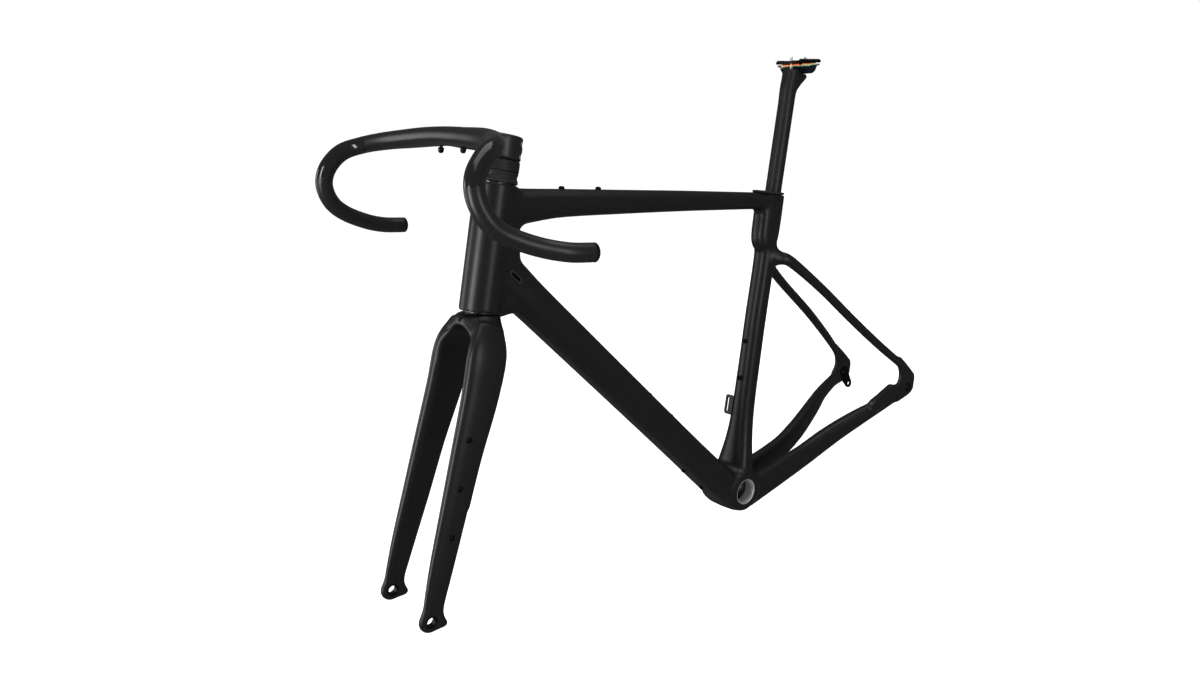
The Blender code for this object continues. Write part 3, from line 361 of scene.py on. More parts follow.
def mesh_piece(name, shape, material, sharp=38):
    points, triangles, quads = shape
    mesh = bpy.data.meshes.new(name)
    mesh.from_pydata((points * MM).tolist(), [], quads.tolist() + triangles.tolist())
    bm = bmesh.new()
    bm.from_mesh(mesh)
    bmesh.ops.remove_doubles(bm, verts=bm.verts, dist=1e-6)
    if bm.calc_volume(signed=True) < 0:
        bmesh.ops.reverse_faces(bm, faces=bm.faces)
    bm.to_mesh(mesh)
    bm.free()
    mesh.shade_smooth()
    mesh.set_sharp_from_angle(angle=math.radians(sharp))
    if material:
        mesh.materials.append(material)
    return in_scene(name, mesh)


def bore(piece, *shapes, sharp=50):
    """Crisp holes and pockets, cut from a finished mesh."""
    for shape in shapes:
        tool = mesh_piece("tool", shape, None)
        cut = piece.modifiers.new("cut", "BOOLEAN")
        cut.operation, cut.solver, cut.object = "DIFFERENCE", "MANIFOLD", tool
        with bpy.context.temp_override(object=piece):
            bpy.ops.object.modifier_apply(modifier=cut.name)
        bpy.data.objects.remove(tool)
    piece.data.set_sharp_from_angle(angle=math.radians(sharp))
    return piece


def finish_piece(piece, body, slot, *nodes):
    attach(piece, body)
    if nodes:
        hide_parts(*nodes)
    return piece


# ---- Materials ------------------------------------------------------------------------------------
class Nodes:
    """A material's node tree, with its Principled shader and short ways to add nodes."""

    def __init__(self, name):
        self.material = bpy.data.materials.new(name)
        self.material.use_nodes = True
        self.tree = self.material.node_tree
        self.shader = self.tree.nodes["Principled BSDF"]
        self.place = self.node("ShaderNodeTexCoord").outputs["Object"]

    def node(self, kind, **values):
        made = self.tree.nodes.new(kind)
        for key, value in values.items():
            setattr(made, key, value)
        return made

    def link(self, output, entry):
        self.tree.links.new(output, entry)

    def set(self, **values):
        for key, value in values.items():
            self.shader.inputs[key.replace("_", " ")].default_value = value
        return self

    def noise(self, scale, detail=3.0, stretch=None):
        made = self.node("ShaderNodeTexNoise")
        made.inputs["Scale"].default_value = scale
        made.inputs["Detail"].default_value = detail
        source = self.place
        if stretch:
            mapping = self.node("ShaderNodeMapping")
            mapping.inputs["Scale"].default_value = stretch
            self.link(source, mapping.inputs["Vector"])
            source = mapping.outputs["Vector"]
        self.link(source, made.inputs["Vector"])
        return made.outputs["Fac"]

    def ramp(self, source, stops):
        made = self.node("ShaderNodeValToRGB")
        elements = made.color_ramp.elements
        while len(elements) < len(stops):
            elements.new(0.5)
        for element, (position, colour) in zip(elements, stops):
            element.position = position
            element.color = (*colour, 1.0) if isinstance(colour, tuple) else (colour, colour, colour, 1.0)
        self.link(source, made.inputs["Fac"])
        return made.outputs["Color"]

    def spread(self, source, low, high):
        """Map a 0 to 1 value to a range."""
        made = self.node("ShaderNodeMapRange")
        made.inputs["To Min"].default_value = low
        made.inputs["To Max"].default_value = high
        self.link(source, made.inputs["Value"])
        return made.outputs["Result"]

    def rise(self, source, start, end):
        """0 up to a start, 1 from an end, and even between them."""
        made = self.node("ShaderNodeMapRange")
        made.inputs["From Min"].default_value = start
        made.inputs["From Max"].default_value = end
        self.link(source, made.inputs["Value"])
        return made.outputs["Result"]

    def bump(self, source, distance, strength, under=None):
        made = self.node("ShaderNodeBump")
        made.inputs["Distance"].default_value = distance
        made.inputs["Strength"].default_value = strength
        self.link(source, made.inputs["Height"])
        if under:
            self.link(under, made.inputs["Normal"])
        self.link(made.outputs["Normal"], self.shader.inputs["Normal"])
        return made.outputs["Normal"]


def carbon(name, dark, light, rough_low, rough_high):
    """Painted carbon: near black, with mottled roughness, fine fibre grain and slight orange peel."""
    n = Nodes(name).set(Specular_IOR_Level=0.36)
    grain = n.noise(950.0, detail=2.0, stretch=(1.0, 1.0, 0.25))
    mottle = n.noise(22.0, detail=4.0)
    n.link(n.ramp(grain, [(0.35, dark), (0.7, light)]), n.shader.inputs["Base Color"])
    n.link(n.spread(mottle, rough_low, rough_high), n.shader.inputs["Roughness"])
    peel = n.bump(n.noise(420.0, detail=1.0), 0.00002, 0.5)
    n.bump(grain, 0.000012, 0.35, under=peel)
    return n.material


def metal(name, colour, rough, brushed=900.0, metallic=1.0):
    """Machined metal: fine turning marks, uneven roughness and slightly varied colour."""
    n = Nodes(name).set(Metallic=metallic)
    mottle = n.noise(160.0, detail=4.0)
    shade = tuple(c * 0.8 for c in colour)
    n.link(n.ramp(mottle, [(0.3, shade), (0.7, colour)]), n.shader.inputs["Base Color"])
    n.link(n.spread(mottle, rough * 0.75, rough * 1.3), n.shader.inputs["Roughness"])
    n.bump(n.noise(brushed, detail=2.0, stretch=(0.2, 4.0, 4.0)), 0.00002, 0.4)
    return n.material


def moulded(name, dark, light, rough, grain=1400.0, depth=0.00004):
    """Moulded rubber or plastic with a fine leathery grain."""
    n = Nodes(name).set(Specular_IOR_Level=0.3)
    speckle = n.noise(grain, detail=3.0)
    n.link(n.ramp(speckle, [(0.35, dark), (0.7, light)]), n.shader.inputs["Base Color"])
    n.link(n.spread(n.noise(60.0), rough - 0.06, rough + 0.08), n.shader.inputs["Roughness"])
    n.bump(speckle, depth, 0.6)
    return n.material


def tint_and_painted_highlight():
    """Anodised titanium colours that run from red to blue down the cradle's top rim: part the titanium's own tint
    and part painted highlight, over near black lower down.
    """
    n = Nodes("tint_and_painted_highlight").set(Metallic=0.55)
    high = node_box("saddle_clamp_cradle")[1]
    split = n.node("ShaderNodeSeparateXYZ")
    n.link(n.place, split.inputs["Vector"])
    height = n.rise(split.outputs["Z"], (high.z - 8.0) * MM, high.z * MM)
    wander = n.node("ShaderNodeMath", operation="MULTIPLY_ADD")
    n.link(n.noise(90.0, detail=1.0), wander.inputs[0])
    wander.inputs[1].default_value = 0.35
    n.link(height, wander.inputs[2])
    # Painted highlight: the bright red, orange and cream bands sit on the top 8 mm of the cradle, mixed with the
    # anodised tint; lower down the colour falls to dark blue and near black.
    colours = [(0.0, (0.006, 0.008, 0.012)), (0.4, (0.006, 0.010, 0.020)), (0.54, (0.05, 0.32, 0.2)),
               (0.68, (0.85, 0.78, 0.5)), (0.82, (0.9, 0.5, 0.2)), (0.97, (0.75, 0.1, 0.03))]
    n.link(n.ramp(wander.outputs["Value"], colours), n.shader.inputs["Base Color"])
    n.link(n.spread(n.noise(300.0), 0.14, 0.3), n.shader.inputs["Roughness"])
    n.bump(n.noise(900.0, stretch=(0.2, 4.0, 4.0)), 0.00001, 0.3)
    return n.material


SATIN = carbon("satin_carbon_paint", 0.0035, 0.0060, 0.33, 0.41)
FORK_PAINT = carbon("fork_paint", 0.0040, 0.0065, 0.34, 0.42)
GLOSS = carbon("gloss_carbon_paint", 0.004, 0.007, 0.38, 0.46)
RUBBER = moulded("rubber_grain", 0.006, 0.014, 0.62)
PLASTIC = moulded("black_plastic", 0.006, 0.012, 0.48, grain=900.0, depth=0.00002)
BLACK_BOLT = metal("black_oxide", (0.018, 0.018, 0.019), 0.4)
BEARING = metal("bearing_steel", (0.20, 0.20, 0.21), 0.3)
STEEL = metal("bright_steel", (0.60, 0.60, 0.62), 0.28, metallic=0.7)
ALUMINIUM = metal("machined_aluminium", (0.50, 0.51, 0.52), 0.30, brushed=1600.0, metallic=0.7)
CLAMP_BLACK = metal("black_anodised", (0.02, 0.02, 0.022), 0.3)
TINT_AND_PAINTED_HIGHLIGHT = tint_and_painted_highlight()


# ---- Frame ----------------------------------------------------------------------------------------
def seat_station(distance, behind, depth, width, power):
    return (*on_seat(distance, -behind), depth, width, power)


TOP_TUBE = [(-380, 0, 556.4, 26.7, 26.0, 2.4), (-340, 0, 552.8, 22.9, 22.5, 2.5),
            (-286, 0, 546.9, 19.6, 20.0, 2.7), (-183, 0, 530.9, 17.6, 19.0, 2.8),
            (-63, 0, 511.7, 15.9, 17.8, 2.8), (60, 0, 491.0, 14.4, 16.6, 2.8),
            (128, 0, 479.4, 13.7, 15.8, 2.8)]
DOWN_TUBE_ANGLE = math.radians(51)
DOWN_TUBE_ALONG = Vector((math.cos(DOWN_TUBE_ANGLE), 0.0, -math.sin(DOWN_TUBE_ANGLE)))
DOWN_TUBE_START = Vector((-396.0, 0.0, 471.0))
DOWN_TUBE = [(*(DOWN_TUBE_START + DOWN_TUBE_ALONG * distance), *shape) for distance, *shape in (
    (-40, 30.0, 25.0, 2.6), (10, 29.5, 25.2, 2.6), (60, 27.0, 26.0, 2.8), (150, 26.2, 27.0, 3.0),
    (330, 25.7, 28.5, 3.0), (470, 25.4, 31.5, 3.0), (545, 25.8, 35.0, 3.0), (600, 25.6, 37.0, 3.0))]
DOWN_TUBE_FACETS = ((-0.586, 0.774, 0.985),)
TOP_TUBE_FACETS = ((0.62, 0.74, 1.0),)
SEAT_TUBE = [seat_station(*row) for row in (
    (8, 4, 23.0, 36.0, 2.8), (45, 6.1, 21.0, 32.0, 2.6), (80, 6.5, 19.0, 25.5, 2.4),
    (115, 6.0, 18.0, 21.0, 2.3), (160, 4.8, 17.5, 18.6, 2.3), (240, 3.6, 17.4, 17.6, 2.3),
    (300, 2.6, 17.6, 17.4, 2.3), (412, 2.2, 17.5, 17.4, 2.4),
    (434, -4, 24.2, 18.0, 2.7), (470, -5, 25.5, 18.2, 2.8), (515, -6, 26.0, 17.6, 2.8))]
CHAINSTAY = [(14, 25.5, -14, 24.5, 11.5, 3.0), (70, 25.5, -8.5, 23.6, 11.0, 3.0),
             (162, 28, 3.4, 21.4, 11.0, 3.0), (217, 34, 16.8, 20.2, 11.8, 3.0), (257, 42, 28, 18.6, 12.0, 2.8),
             (300, 53, 39.6, 16.6, 11.4, 2.7), (343, 65, 50.4, 14.4, 8.8, 2.6), (400, 74.8, 62, 14.4, 4.3, 2.8)]
SEATSTAY = [(122, 8, 393, 13.0, 7.0, 2.4), (138, 20, 381, 12.0, 8.4, 2.4), (156, 31.0, 370.5, 9.6, 8.4, 2.3),
            (217, 44.3, 311, 8.2, 7.8, 2.2), (292, 50.4, 236.8, 8.2, 7.6, 2.2), (357, 61.5, 171, 8.0, 7.0, 2.2),
            (408, 75.0, 120, 8.0, 4.3, 2.6)]
GUSSET = [(-412, 0, 436, 21.0, 20.0, 2.6), (-392, 0, 435, 20.0, 20.0, 2.6), (-372, 0, 428, 17.0, 19.0, 2.6)]
WEB = [(-379, 0, 540, 15.0, 17.0, 2.4), (-378, 0, 515, 13.5, 18.0, 2.4), (-387, 0, 486, 19.0, 20.0, 2.4),
       (-392, 0, 462, 22.0, 21.0, 2.4)]
DROPOUT = [(397.5, 124.5), (405.2, 106.5), (405.5, 97), (403.2, 87), (394.5, 78), (394.5, 45.5), (425, 48.5),
           (439, 51.5), (446.5, 58), (452, 77), (451.5, 87), (438, 103), (422, 120), (407.5, 134.5)]
HANGER_TIP = (441.5, 38.0)


def shell_barrel():
    half = SHELL_HALF
    shape = [(0.0, half), (32.2, half), (34.4, half - 2.5), (37.4, 24), (38.4, 0), (37.4, -24),
             (34.4, 2.5 - half), (32.2, -half), (0.0, -half)]
    return turned(shape, ACROSS)


def hanger_pocket(radius, tip_radius):
    across, down = HANGER_TIP[0] - REAR_AXLE.x, HANGER_TIP[1] - REAR_AXLE.z
    heading = math.degrees(math.atan2(down, across))
    turn = math.degrees(math.acos((radius - tip_radius) / math.hypot(across, down)))
    return (arc(REAR_AXLE.x, REAR_AXLE.z, radius, heading + 360 - turn, heading + turn, 40)
            + arc(*HANGER_TIP, tip_radius, heading + turn, heading - turn, 24))


def brake_pad():
    """Brake mount on the left chainstay, whose face slopes with the stay."""
    slope = math.radians(13.5)
    return block((64, 14, 22), placed((357, -69.5, 66.5), axis=(-math.sin(slope), 0, math.cos(slope))))


def make_frame():
    """Frame moulding: tubes with rolling-ball fillets, then the bores and holes."""
    field = Field((-474, -84, -42), (456, 84, 595), 1.6, 14.0)
    head = turned([(0, 0), (HEAD_RADIUS - 0.8, 0), (HEAD_RADIUS - 0.2, -0.8), (HEAD_RADIUS, 0.8 - HEAD_LENGTH),
                   (HEAD_RADIUS - 0.8, -HEAD_LENGTH), (0, -HEAD_LENGTH)], HEAD_AXIS)
    down = loft(DOWN_TUBE, facets=DOWN_TUBE_FACETS, sides=96)
    top = loft(TOP_TUBE, facets=TOP_TUBE_FACETS, sides=96)
    field.add(joined([head, down, top]), loft(GUSSET), loft(WEB)).fillet(13.0)
    dropout = prism(DROPOUT, HUB_FACE_REAR, DROPOUT_OUTER, side_view())
    field.add(joined([loft(SEAT_TUBE, sides=72), shell_barrel(), *pair(loft(CHAINSTAY)), *pair(loft(SEATSTAY)),
                      *pair(dropout), brake_pad()])).fillet(10.0)
    field.soften(1.6)
    sleeve = INSERT_RADIUS + GAP
    mouth = SHELL_HALF - 20.5
    cover = placed(on_seat(COVER_ON_SEAT_AXIS - 1.9), axis=COVER_NORMAL)
    field.cut(moved(block((200, 90, 80), Matrix.Translation((0, 0, 40))), cover))
    axle = placed(REAR_AXLE, axis=(0, 1, 0))
    piece = field.blur().piece("frame_moulding", SATIN)
    bore(piece,
         turned([(0, 60), (sleeve, 60), (sleeve, mouth), (26, mouth - 3), (26, 3 - mouth), (sleeve, -mouth),
                 (sleeve, -60), (0, -60)], ACROSS),
         cylinder(BEARING_BORE, -HEAD_LENGTH - 20, -HEAD_LENGTH + 8, HEAD_AXIS),
         cylinder(BEARING_BORE, -8, 20, HEAD_AXIS), cylinder(HEAD_BORE, -HEAD_LENGTH + 7, -7, HEAD_AXIS),
         cylinder(POST_RADIUS + GAP, 285, 560, SEAT_AXIS),
         cylinder(AXLE_HOLE, -100, 100, axle), cylinder(9.0, DROPOUT_OUTER - HUB_FACE_STEP, 100, axle),
         cylinder(9.0, -100, HUB_FACE_STEP - DROPOUT_OUTER, axle),
         prism(hanger_pocket(13.3, 8.9), -75.5, -60, side_view()),
         prism(stadium(9.0, 4.5), 12, 40, port_matrix()))
    finish_piece(piece, "root", "satin_carbon", "head_tube", "top_tube", "down_tube", "seat_tube",
                 "bottom_bracket_shell", "chainstay_left", "chainstay_right", "seatstay_left", "seatstay_right",
                 "rear_dropout_left", "rear_dropout_right")


def port_matrix():
    """Cable port on the left of the down tube: local X runs down the tube, local Z points out."""
    outward = Vector((0, -1, 0))
    matrix = Matrix((DOWN_TUBE_ALONG, outward.cross(DOWN_TUBE_ALONG), outward)).transposed().to_4x4()
    low, high = node_box("cable_port_grommet")
    matrix.translation = Vector(((low.x + high.x) / 2, 0, (low.z + high.z) / 2))
    return matrix


# ---- Fork -----------------------------------------------------------------------------------------
CROWN = [(-0.9, 0.0, 27.6, 27.6, 2.0), (-3, 0.0, 28.2, 29.2, 2.0), (-14, -0.6, 28.2, 40.5, 2.2),
         (-28, -1.2, 28.0, 49.0, 2.4), (-42, -1.8, 27.8, 53.6, 2.6), (-56, -2.5, 27.2, 55.4, 2.7),
         (-70, -3.5, 26.6, 55.8, 2.7)]
FORK_LEG = [(-443, 34.0, 416, 19.0, 8.0, 2.4), (-459.0, 42.8, 383, 28.2, 12.2, 2.6),
            (-481.2, 46.0, 331, 26.8, 11.6, 2.6), (-514.5, 48.7, 264, 22.8, 10.3, 2.6),
            (-547, 51.2, 195, 20.3, 9.0, 2.6),
            (-576.5, 53.4, 133.5, 17.8, 7.4, 2.5), (-598, 55.2, 86, 15.2, 5.2, 2.5),
            (-604.5, 55.4, 71, 13.4, 4.8, 2.5)]
BRAKE_FLAT_CENTRE = (-560.5, -54, 167)
BRAKE_FLAT_DEPTH = 17.2


def make_fork():
    """Fork moulding: crown, two legs and hub ends, with the tyre arch cut through."""
    field = Field((-625, -64, 50), (-380, 64, 425), 1.25, 18.0)
    crown = [(*on_head(h - HEAD_LENGTH, back), depth, width, power) for h, back, depth, width, power in CROWN]
    outline = arc(FRONT_AXLE.x, FRONT_AXLE.z, 15.5, 70, 262, 40) + [(-600, 52.0)] + \
        arc(-589, 56.5, 5.0, -90, 40, 10) + [(-588, 72), (-586, 84)]
    tip = prism(outline, HUB_FACE_FRONT, FORK_END_OUTER, side_view())
    steerer = turned([(0, -150), (STEERER_RADIUS + 5, -150), (STEERER_RADIUS + 5, -HEAD_LENGTH - 20),
                      (0, -HEAD_LENGTH - 20)], HEAD_AXIS)
    field.add(loft(crown, sides=72), *pair(loft(FORK_LEG, sides=72)), *pair(tip)).fillet(18.0)
    spring, half = -HEAD_LENGTH - 54.0, 34.5
    arch = [(-half, spring - 110), (half, spring - 110)] + arc(0, spring, half, 0, 180, 48)
    matrix = Matrix((Vector((0, 1, 0)), HEAD_UP, HEAD_BACK)).transposed().to_4x4()
    matrix.translation = HEAD_TOP
    field.cut(prism(arch, -75, 75, matrix)).soften(2.0)
    field.add(steerer)
    along = Vector((FORK_LEG[5][0] - FORK_LEG[4][0], 0, FORK_LEG[5][2] - FORK_LEG[4][2])).normalized()
    back = Vector((-along.z, 0, along.x))
    recess = Vector(BRAKE_FLAT_CENTRE) + back * (BRAKE_FLAT_DEPTH + 10)
    field.cut(block((20, 30, 76), placed(recess, axis=-along, forward=back)))
    field.cut(cylinder(STEERER_BORE, -260, 20, HEAD_AXIS),
              cylinder(AXLE_HOLE, -80, 80, placed(FRONT_AXLE, axis=(0, 1, 0))),
              cylinder(2.8, 10, 60, placed(on_head(-HEAD_LENGTH - 10.5), axis=-HEAD_BACK)))
    finish_piece(field.blur(3).piece("fork_moulding", FORK_PAINT), "steering", "satin_carbon", "fork")
    column = turned([(STEERER_BORE, 58.0), (STEERER_RADIUS, 58.0), (STEERER_RADIUS, -110.0), (19.75, -150.0),
                     (12.0, -150.0)], HEAD_AXIS)
    finish_piece(mesh_piece("steerer_column", column, SATIN), "steering", "satin_carbon")


# ---- Handlebar ------------------------------------------------------------------------------------
HANDLEBAR = [(-452, 0, 658.8, 10.8, 20.0, 2.7), (-452.5, 35, 658.2, 11.0, 20.0, 2.7),
             (-456, 80, 656.8, 11.2, 18.8, 2.5), (-466, 130, 655.3, 11.2, 15.0, 2.3),
             (-483, 170, 651.9, 11.4, 12.0, 2), (-506, 188.5, 645, 11.7, 11.8, 2),
             (-526, 195.5, 627, 11.8, 11.8, 2), (-533, 201.5, 605, 11.7, 11.7, 2),
             (-526, 206, 580, 11.4, 11.4, 2), (-508, 209.5, 561, 11.2, 11.2, 2),
             (-476, 218.5, 543, 11.2, 11.2, 2), (-445, 229.5, 531.5, 11.3, 11.3, 2),
             (-413, 232.5, 525, 11.3, 11.3, 2)]
STEM = [(*on_head(45.5), 13.6, 26.0, 3.2), (-392, 0, 646.2, 14.6, 25.5, 3.2),
        (-418, 0, 652.4, 13.4, 24.0, 3.0), (-447, 0, 658.4, 10.8, 23.0, 2.8)]


def make_handlebar():
    """Bar and stem in one moulding, split behind the steerer and crossed by two clamp bolts."""
    field = Field((-548, -247, 510), (-338, 247, 675), 1.4, 8.0)
    right = loft(HANDLEBAR, side=HEAD_BACK, sides=64, between=8)
    clamp = turned([(0, CLAMP_TOP), (CLAMP_RADIUS - 1.5, CLAMP_TOP), (CLAMP_RADIUS, CLAMP_TOP - 1.5),
                    (CLAMP_RADIUS, CLAMP_BOTTOM), (0, CLAMP_BOTTOM)], HEAD_AXIS)
    bosses = [cylinder(4.4, 3.0, 14, placed(point, axis=HEAD_UP)) for point in ACCESSORY_BOLTS]
    field.add(joined([*pair(right), loft(STEM, sides=72), *bosses])).fillet(8.0)
    field.add(clamp).soften(1.3)
    field.cut(turned([(0, 85), (17.4, 85), (17.4, CLAMP_TOP - 2.6), (STEERER_RADIUS + GAP, CLAMP_TOP - 2.6),
                      (STEERER_RADIUS + GAP, 15), (0, 15)], HEAD_AXIS))
    middle = (CLAMP_BOTTOM + CLAMP_TOP) / 2
    field.cut(block((24, 2.2, 60), placed(on_head(middle, 22), HEAD_UP)))
    for height in (CLAMP_BOTTOM + 7.5, CLAMP_TOP - 8.0):
        point = on_head(height, 20.3)
        field.cut(cylinder(4.8, -0.3, 30, placed((point.x, -10.0, point.z), axis=(0, -1, 0))))
    for point in ACCESSORY_BOLTS:
        field.cut(cylinder(2.6, -2, 7, placed(point, axis=HEAD_UP)))
    finish_piece(field.blur().piece("handlebar_moulding", bar_paint()), "steering", "gloss_carbon", "handlebar")


def bar_paint():
    """Gloss over the hoods' zone and satin on the tops and drops, with a crisp edge between them."""
    n = Nodes("handlebar_paint").set(Specular_IOR_Level=0.45)
    split = n.node("ShaderNodeSeparateXYZ")
    n.link(n.place, split.inputs["Vector"])
    side = n.node("ShaderNodeMath", operation="ABSOLUTE")
    n.link(split.outputs["Y"], side.inputs[0])
    gloss = n.node("ShaderNodeMath", operation="MULTIPLY")
    n.link(n.rise(split.outputs["Z"], 0.6160, 0.6172), gloss.inputs[0])
    n.link(n.rise(side.outputs["Value"], 0.150, 0.152), gloss.inputs[1])
    n.link(n.spread(gloss.outputs["Value"], 0.36, 0.14), n.shader.inputs["Roughness"])
    grain = n.noise(950.0, detail=2.0)
    n.link(n.ramp(grain, [(0.35, 0.005), (0.7, 0.008)]), n.shader.inputs["Base Color"])
    n.bump(n.noise(420.0, detail=1.0), 0.00002, 0.35)
    return n.material


# ---- Seatpost and saddle clamp --------------------------------------------------------------------
def on_clamp(local=Matrix()):
    """Matrix of something placed in the saddle clamp's own frame, which rests nose up."""
    return Matrix.Translation(CLAMP_CENTRE) @ Matrix.Rotation(SADDLE_TILT, 4, "Y") @ local


def make_seatpost():
    field = Field((100, -18, 355), (262, 18, 700), 0.9, 14.0)
    head = loft([(*on_seat(600), 13.3, 13.3, 2.0), (*on_seat(650), 13.3, 13.3, 2.0),
                 (205.5, 0, 652, 14.2, 13.6, 2.2), (215, 0, 667, 17.5, 14.4, 2.6),
                 (227.5, 0, 683, 24.5, 15.0, 3.0)], sides=72)
    post = turned([(0, 684), (POST_RADIUS, 684), (POST_RADIUS, 380), (0, 380)], SEAT_AXIS)
    field.add(joined([post, head])).fillet(14.0)
    across = placed(CLAMP_CENTRE, axis=(0, 1, 0))
    field.cut(cylinder(16.1, -40, 40, across),
              block((90, 60, 40), on_clamp(Matrix.Translation((0, 0, 12.4)))))
    field.soften(1.0)
    for offset in CLAMP_BOLTS:
        field.cut(block((9.5, 7.0, 46), on_clamp(Matrix.Translation((offset, 0, -20)))))
    field.cut(cylinder(POST_BORE, 360, 655, SEAT_AXIS))
    finish_piece(field.blur().piece("seatpost_moulding", GLOSS), "seatpost", "gloss_carbon", "seatpost")


def make_saddle_clamp():
    """Cradle, and an upper clamp with rows of knobs, both grooved for the rails."""
    rails = [cylinder(RAIL_RADIUS, -60, 60, on_clamp(placed((0, y, 1.0), axis=(1, 0, 0), forward=(0, 0, 1))))
             for y in (-RAIL_ASIDE, RAIL_ASIDE)]
    holes = [cylinder(CLAMP_BOLT_HOLE, -60, 20, on_clamp(Matrix.Translation((offset, 0, 8.6))))
             for offset in CLAMP_BOLTS]
    outline = [(23.0, 0.7), (-23.0, 0.7), (-23.0, -3.0)] + arc(0, 0, 15.8, 194, 346, 40) + [(23.0, -3.0)]
    cradle = Field((205, -28, 670), (265, 28, 700), 0.55, 2.0)
    cradle.add(moved(prism(outline, -CLAMP_HALF_WIDTH, CLAMP_HALF_WIDTH, side_view()), on_clamp()))
    cradle.cut(*rails, *holes).soften(0.9)
    # The cradle's colour carries a painted highlight along its top rim, over its anodised tint.
    finish_piece(cradle.blur().piece("saddle_cradle", TINT_AND_PAINTED_HIGHLIGHT), "saddle_clamp", "bronze_anodised",
                 "saddle_clamp_cradle")
    top = Field((204, -28, 682), (266, 28, 706), 0.55, 2.0)
    plate = rounded([(-26.0, 1.3), (26.0, 1.3), (26.0, 5.7), (-26.0, 5.7)], 1.0)
    top.add(moved(prism(plate, -CLAMP_HALF_WIDTH, CLAMP_HALF_WIDTH, side_view()), on_clamp()))
    knobs = [turned(ball(2.45), on_clamp(placed((x, y, 5.8)))) for x in np.linspace(-23.2, 23.2, 9)
             for y in (-24.0, -9.0, 9.0, 24.0)]
    top.add(joined(knobs)).fillet(0.6)
    for low, high in ((-14.5, -4.5), (4.5, 14.5)):
        top.cut(block((60, high - low, 6.0), on_clamp(Matrix.Translation((0, (low + high) / 2, 9.2)))))
    top.cut(*rails, *holes).soften(0.6)
    finish_piece(top.blur().piece("saddle_upper_clamp", CLAMP_BLACK), "saddle_clamp", "matte_black",
                 "saddle_clamp_top")


# ---- Turned and small pieces ----------------------------------------------------------------------
def make_head_parts():
    """Headset cover with its waist, ribbed spacer, steerer cap and the bar-end plugs."""
    inner = STEERER_RADIUS + GAP
    cover = [(inner, 15.2), (26.6, 15.2), (27.2, 14.9), (27.6, 14.2), (27.2, 12.0), (26.4, 9.6), (26.3, 8.6),
             (26.9, 7.0), (27.9, 4.6), (28.2, 3.4), (28.2, 1.0), (27.8, 0.5), (inner, 0.5)]
    finish_piece(mesh_piece("headset_cover_moulding", turned(cover, HEAD_AXIS, 160), PLASTIC), "steering",
                 "matte_black", "headset_cover")
    bottom, ribs = 15.5, 7
    spacer = [(inner, bottom + 14.2), (27.2, bottom + 14.2), (27.9, bottom + 13.6)]
    for i in range(ribs):
        z = bottom + 13.0 - i * 1.9
        spacer += [(27.9, z), (27.6, z - 0.3), (27.6, z - 0.7), (27.9, z - 1.0)]
    spacer += [(27.9, bottom + 0.5), (27.4, bottom), (inner, bottom)]
    finish_piece(mesh_piece("ribbed_spacer", turned(spacer, HEAD_AXIS, 160), PLASTIC), "steering",
                 "matte_black", "headset_spacer")
    top = CLAMP_TOP
    cap = [(5.0, top + 1.2), (14.8, top + 1.2), (15.6, top + 1.0), (16.6, top + 0.4), (17.0, top - 0.2),
           (17.0, top - 2.2), (3.0, top - 2.2), (3.0, top - 0.2), (5.0, top - 0.2)]
    finish_piece(mesh_piece("steerer_cap_disc", turned(cap, HEAD_AXIS), CLAMP_BLACK), "steering", "matte_black",
                 "steerer_cap")
    tip = Vector(HANDLEBAR[-1][:3])
    before = Vector(smooth_rows(HANDLEBAR, 2)[-2][:3])
    out = (tip - before).normalized()
    plug = [(0, 2.2), (5.5, 2.5), (8.6, 2.4), (10.2, 1.9), (11.1, 1.0), (11.3, 0.4), (8.6, 0.3), (8.4, -14),
            (0, -14)]
    right = turned(plug, placed(tip, axis=out))
    for word, shape in zip(("right", "left"), pair(right)):
        finish_piece(mesh_piece(f"bar_end_plug_{word}", shape, RUBBER), "steering", "rubber",
                     f"bar_plug_{word}")


def make_bracket_inserts():
    """Aluminium sleeves of the bottom bracket, with a chamfered mouth and a fine step inside."""
    outer = SHELL_HALF - 0.3
    sleeve = [(INSERT_RADIUS - 0.9, outer), (INSERT_RADIUS - 0.2, outer - 0.3), (INSERT_RADIUS, outer - 1.0),
              (INSERT_RADIUS, outer - 19.0), (INSERT_RADIUS - 0.4, outer - 19.5), (20.4, outer - 19.5),
              (20.4, outer - 7.6), (19.9, outer - 7.0), (19.9, outer - 6.2), (20.4, outer - 5.6),
              (20.4, outer - 1.2), (21.0, outer - 0.3), (21.3, outer)]
    for word, side in (("left", -1), ("right", 1)):
        piece = mesh_piece(f"bracket_sleeve_{word}", turned(sleeve, placed((0, 0, 0), axis=(0, side, 0)), 160),
                           ALUMINIUM)
        finish_piece(piece, "root", "aluminium", f"bottom_bracket_insert_{word}")


def make_axle_rings():
    """Thin steel liners in the axle holes of the left dropout and of both fork ends."""
    hole = AXLE_HOLE + 0.1
    rear_face, rear_step = DROPOUT_OUTER - 0.3, DROPOUT_OUTER - HUB_FACE_STEP
    rear = [(hole, rear_face), (8.4, rear_face), (8.9, rear_face - 0.5), (8.9, rear_step), (7.3, rear_step),
            (7.3, HUB_FACE_REAR + 0.1), (hole, HUB_FACE_REAR + 0.1)]
    front = [(hole, FORK_END_OUTER), (8.2, FORK_END_OUTER), (8.2, HUB_FACE_FRONT + 0.1),
             (hole, HUB_FACE_FRONT + 0.1)]
    for name, profile, point, side, body in (("rear_axle_liner_left", rear, REAR_AXLE, -1, "root"),
                                             ("front_axle_liner_left", front, FRONT_AXLE, -1, "steering"),
                                             ("front_axle_liner_right", front, FRONT_AXLE, 1, "steering")):
        shape = turned(profile, placed(point, axis=(0, side, 0)))
        finish_piece(mesh_piece(name, shape, BLACK_BOLT), body, "black_steel")


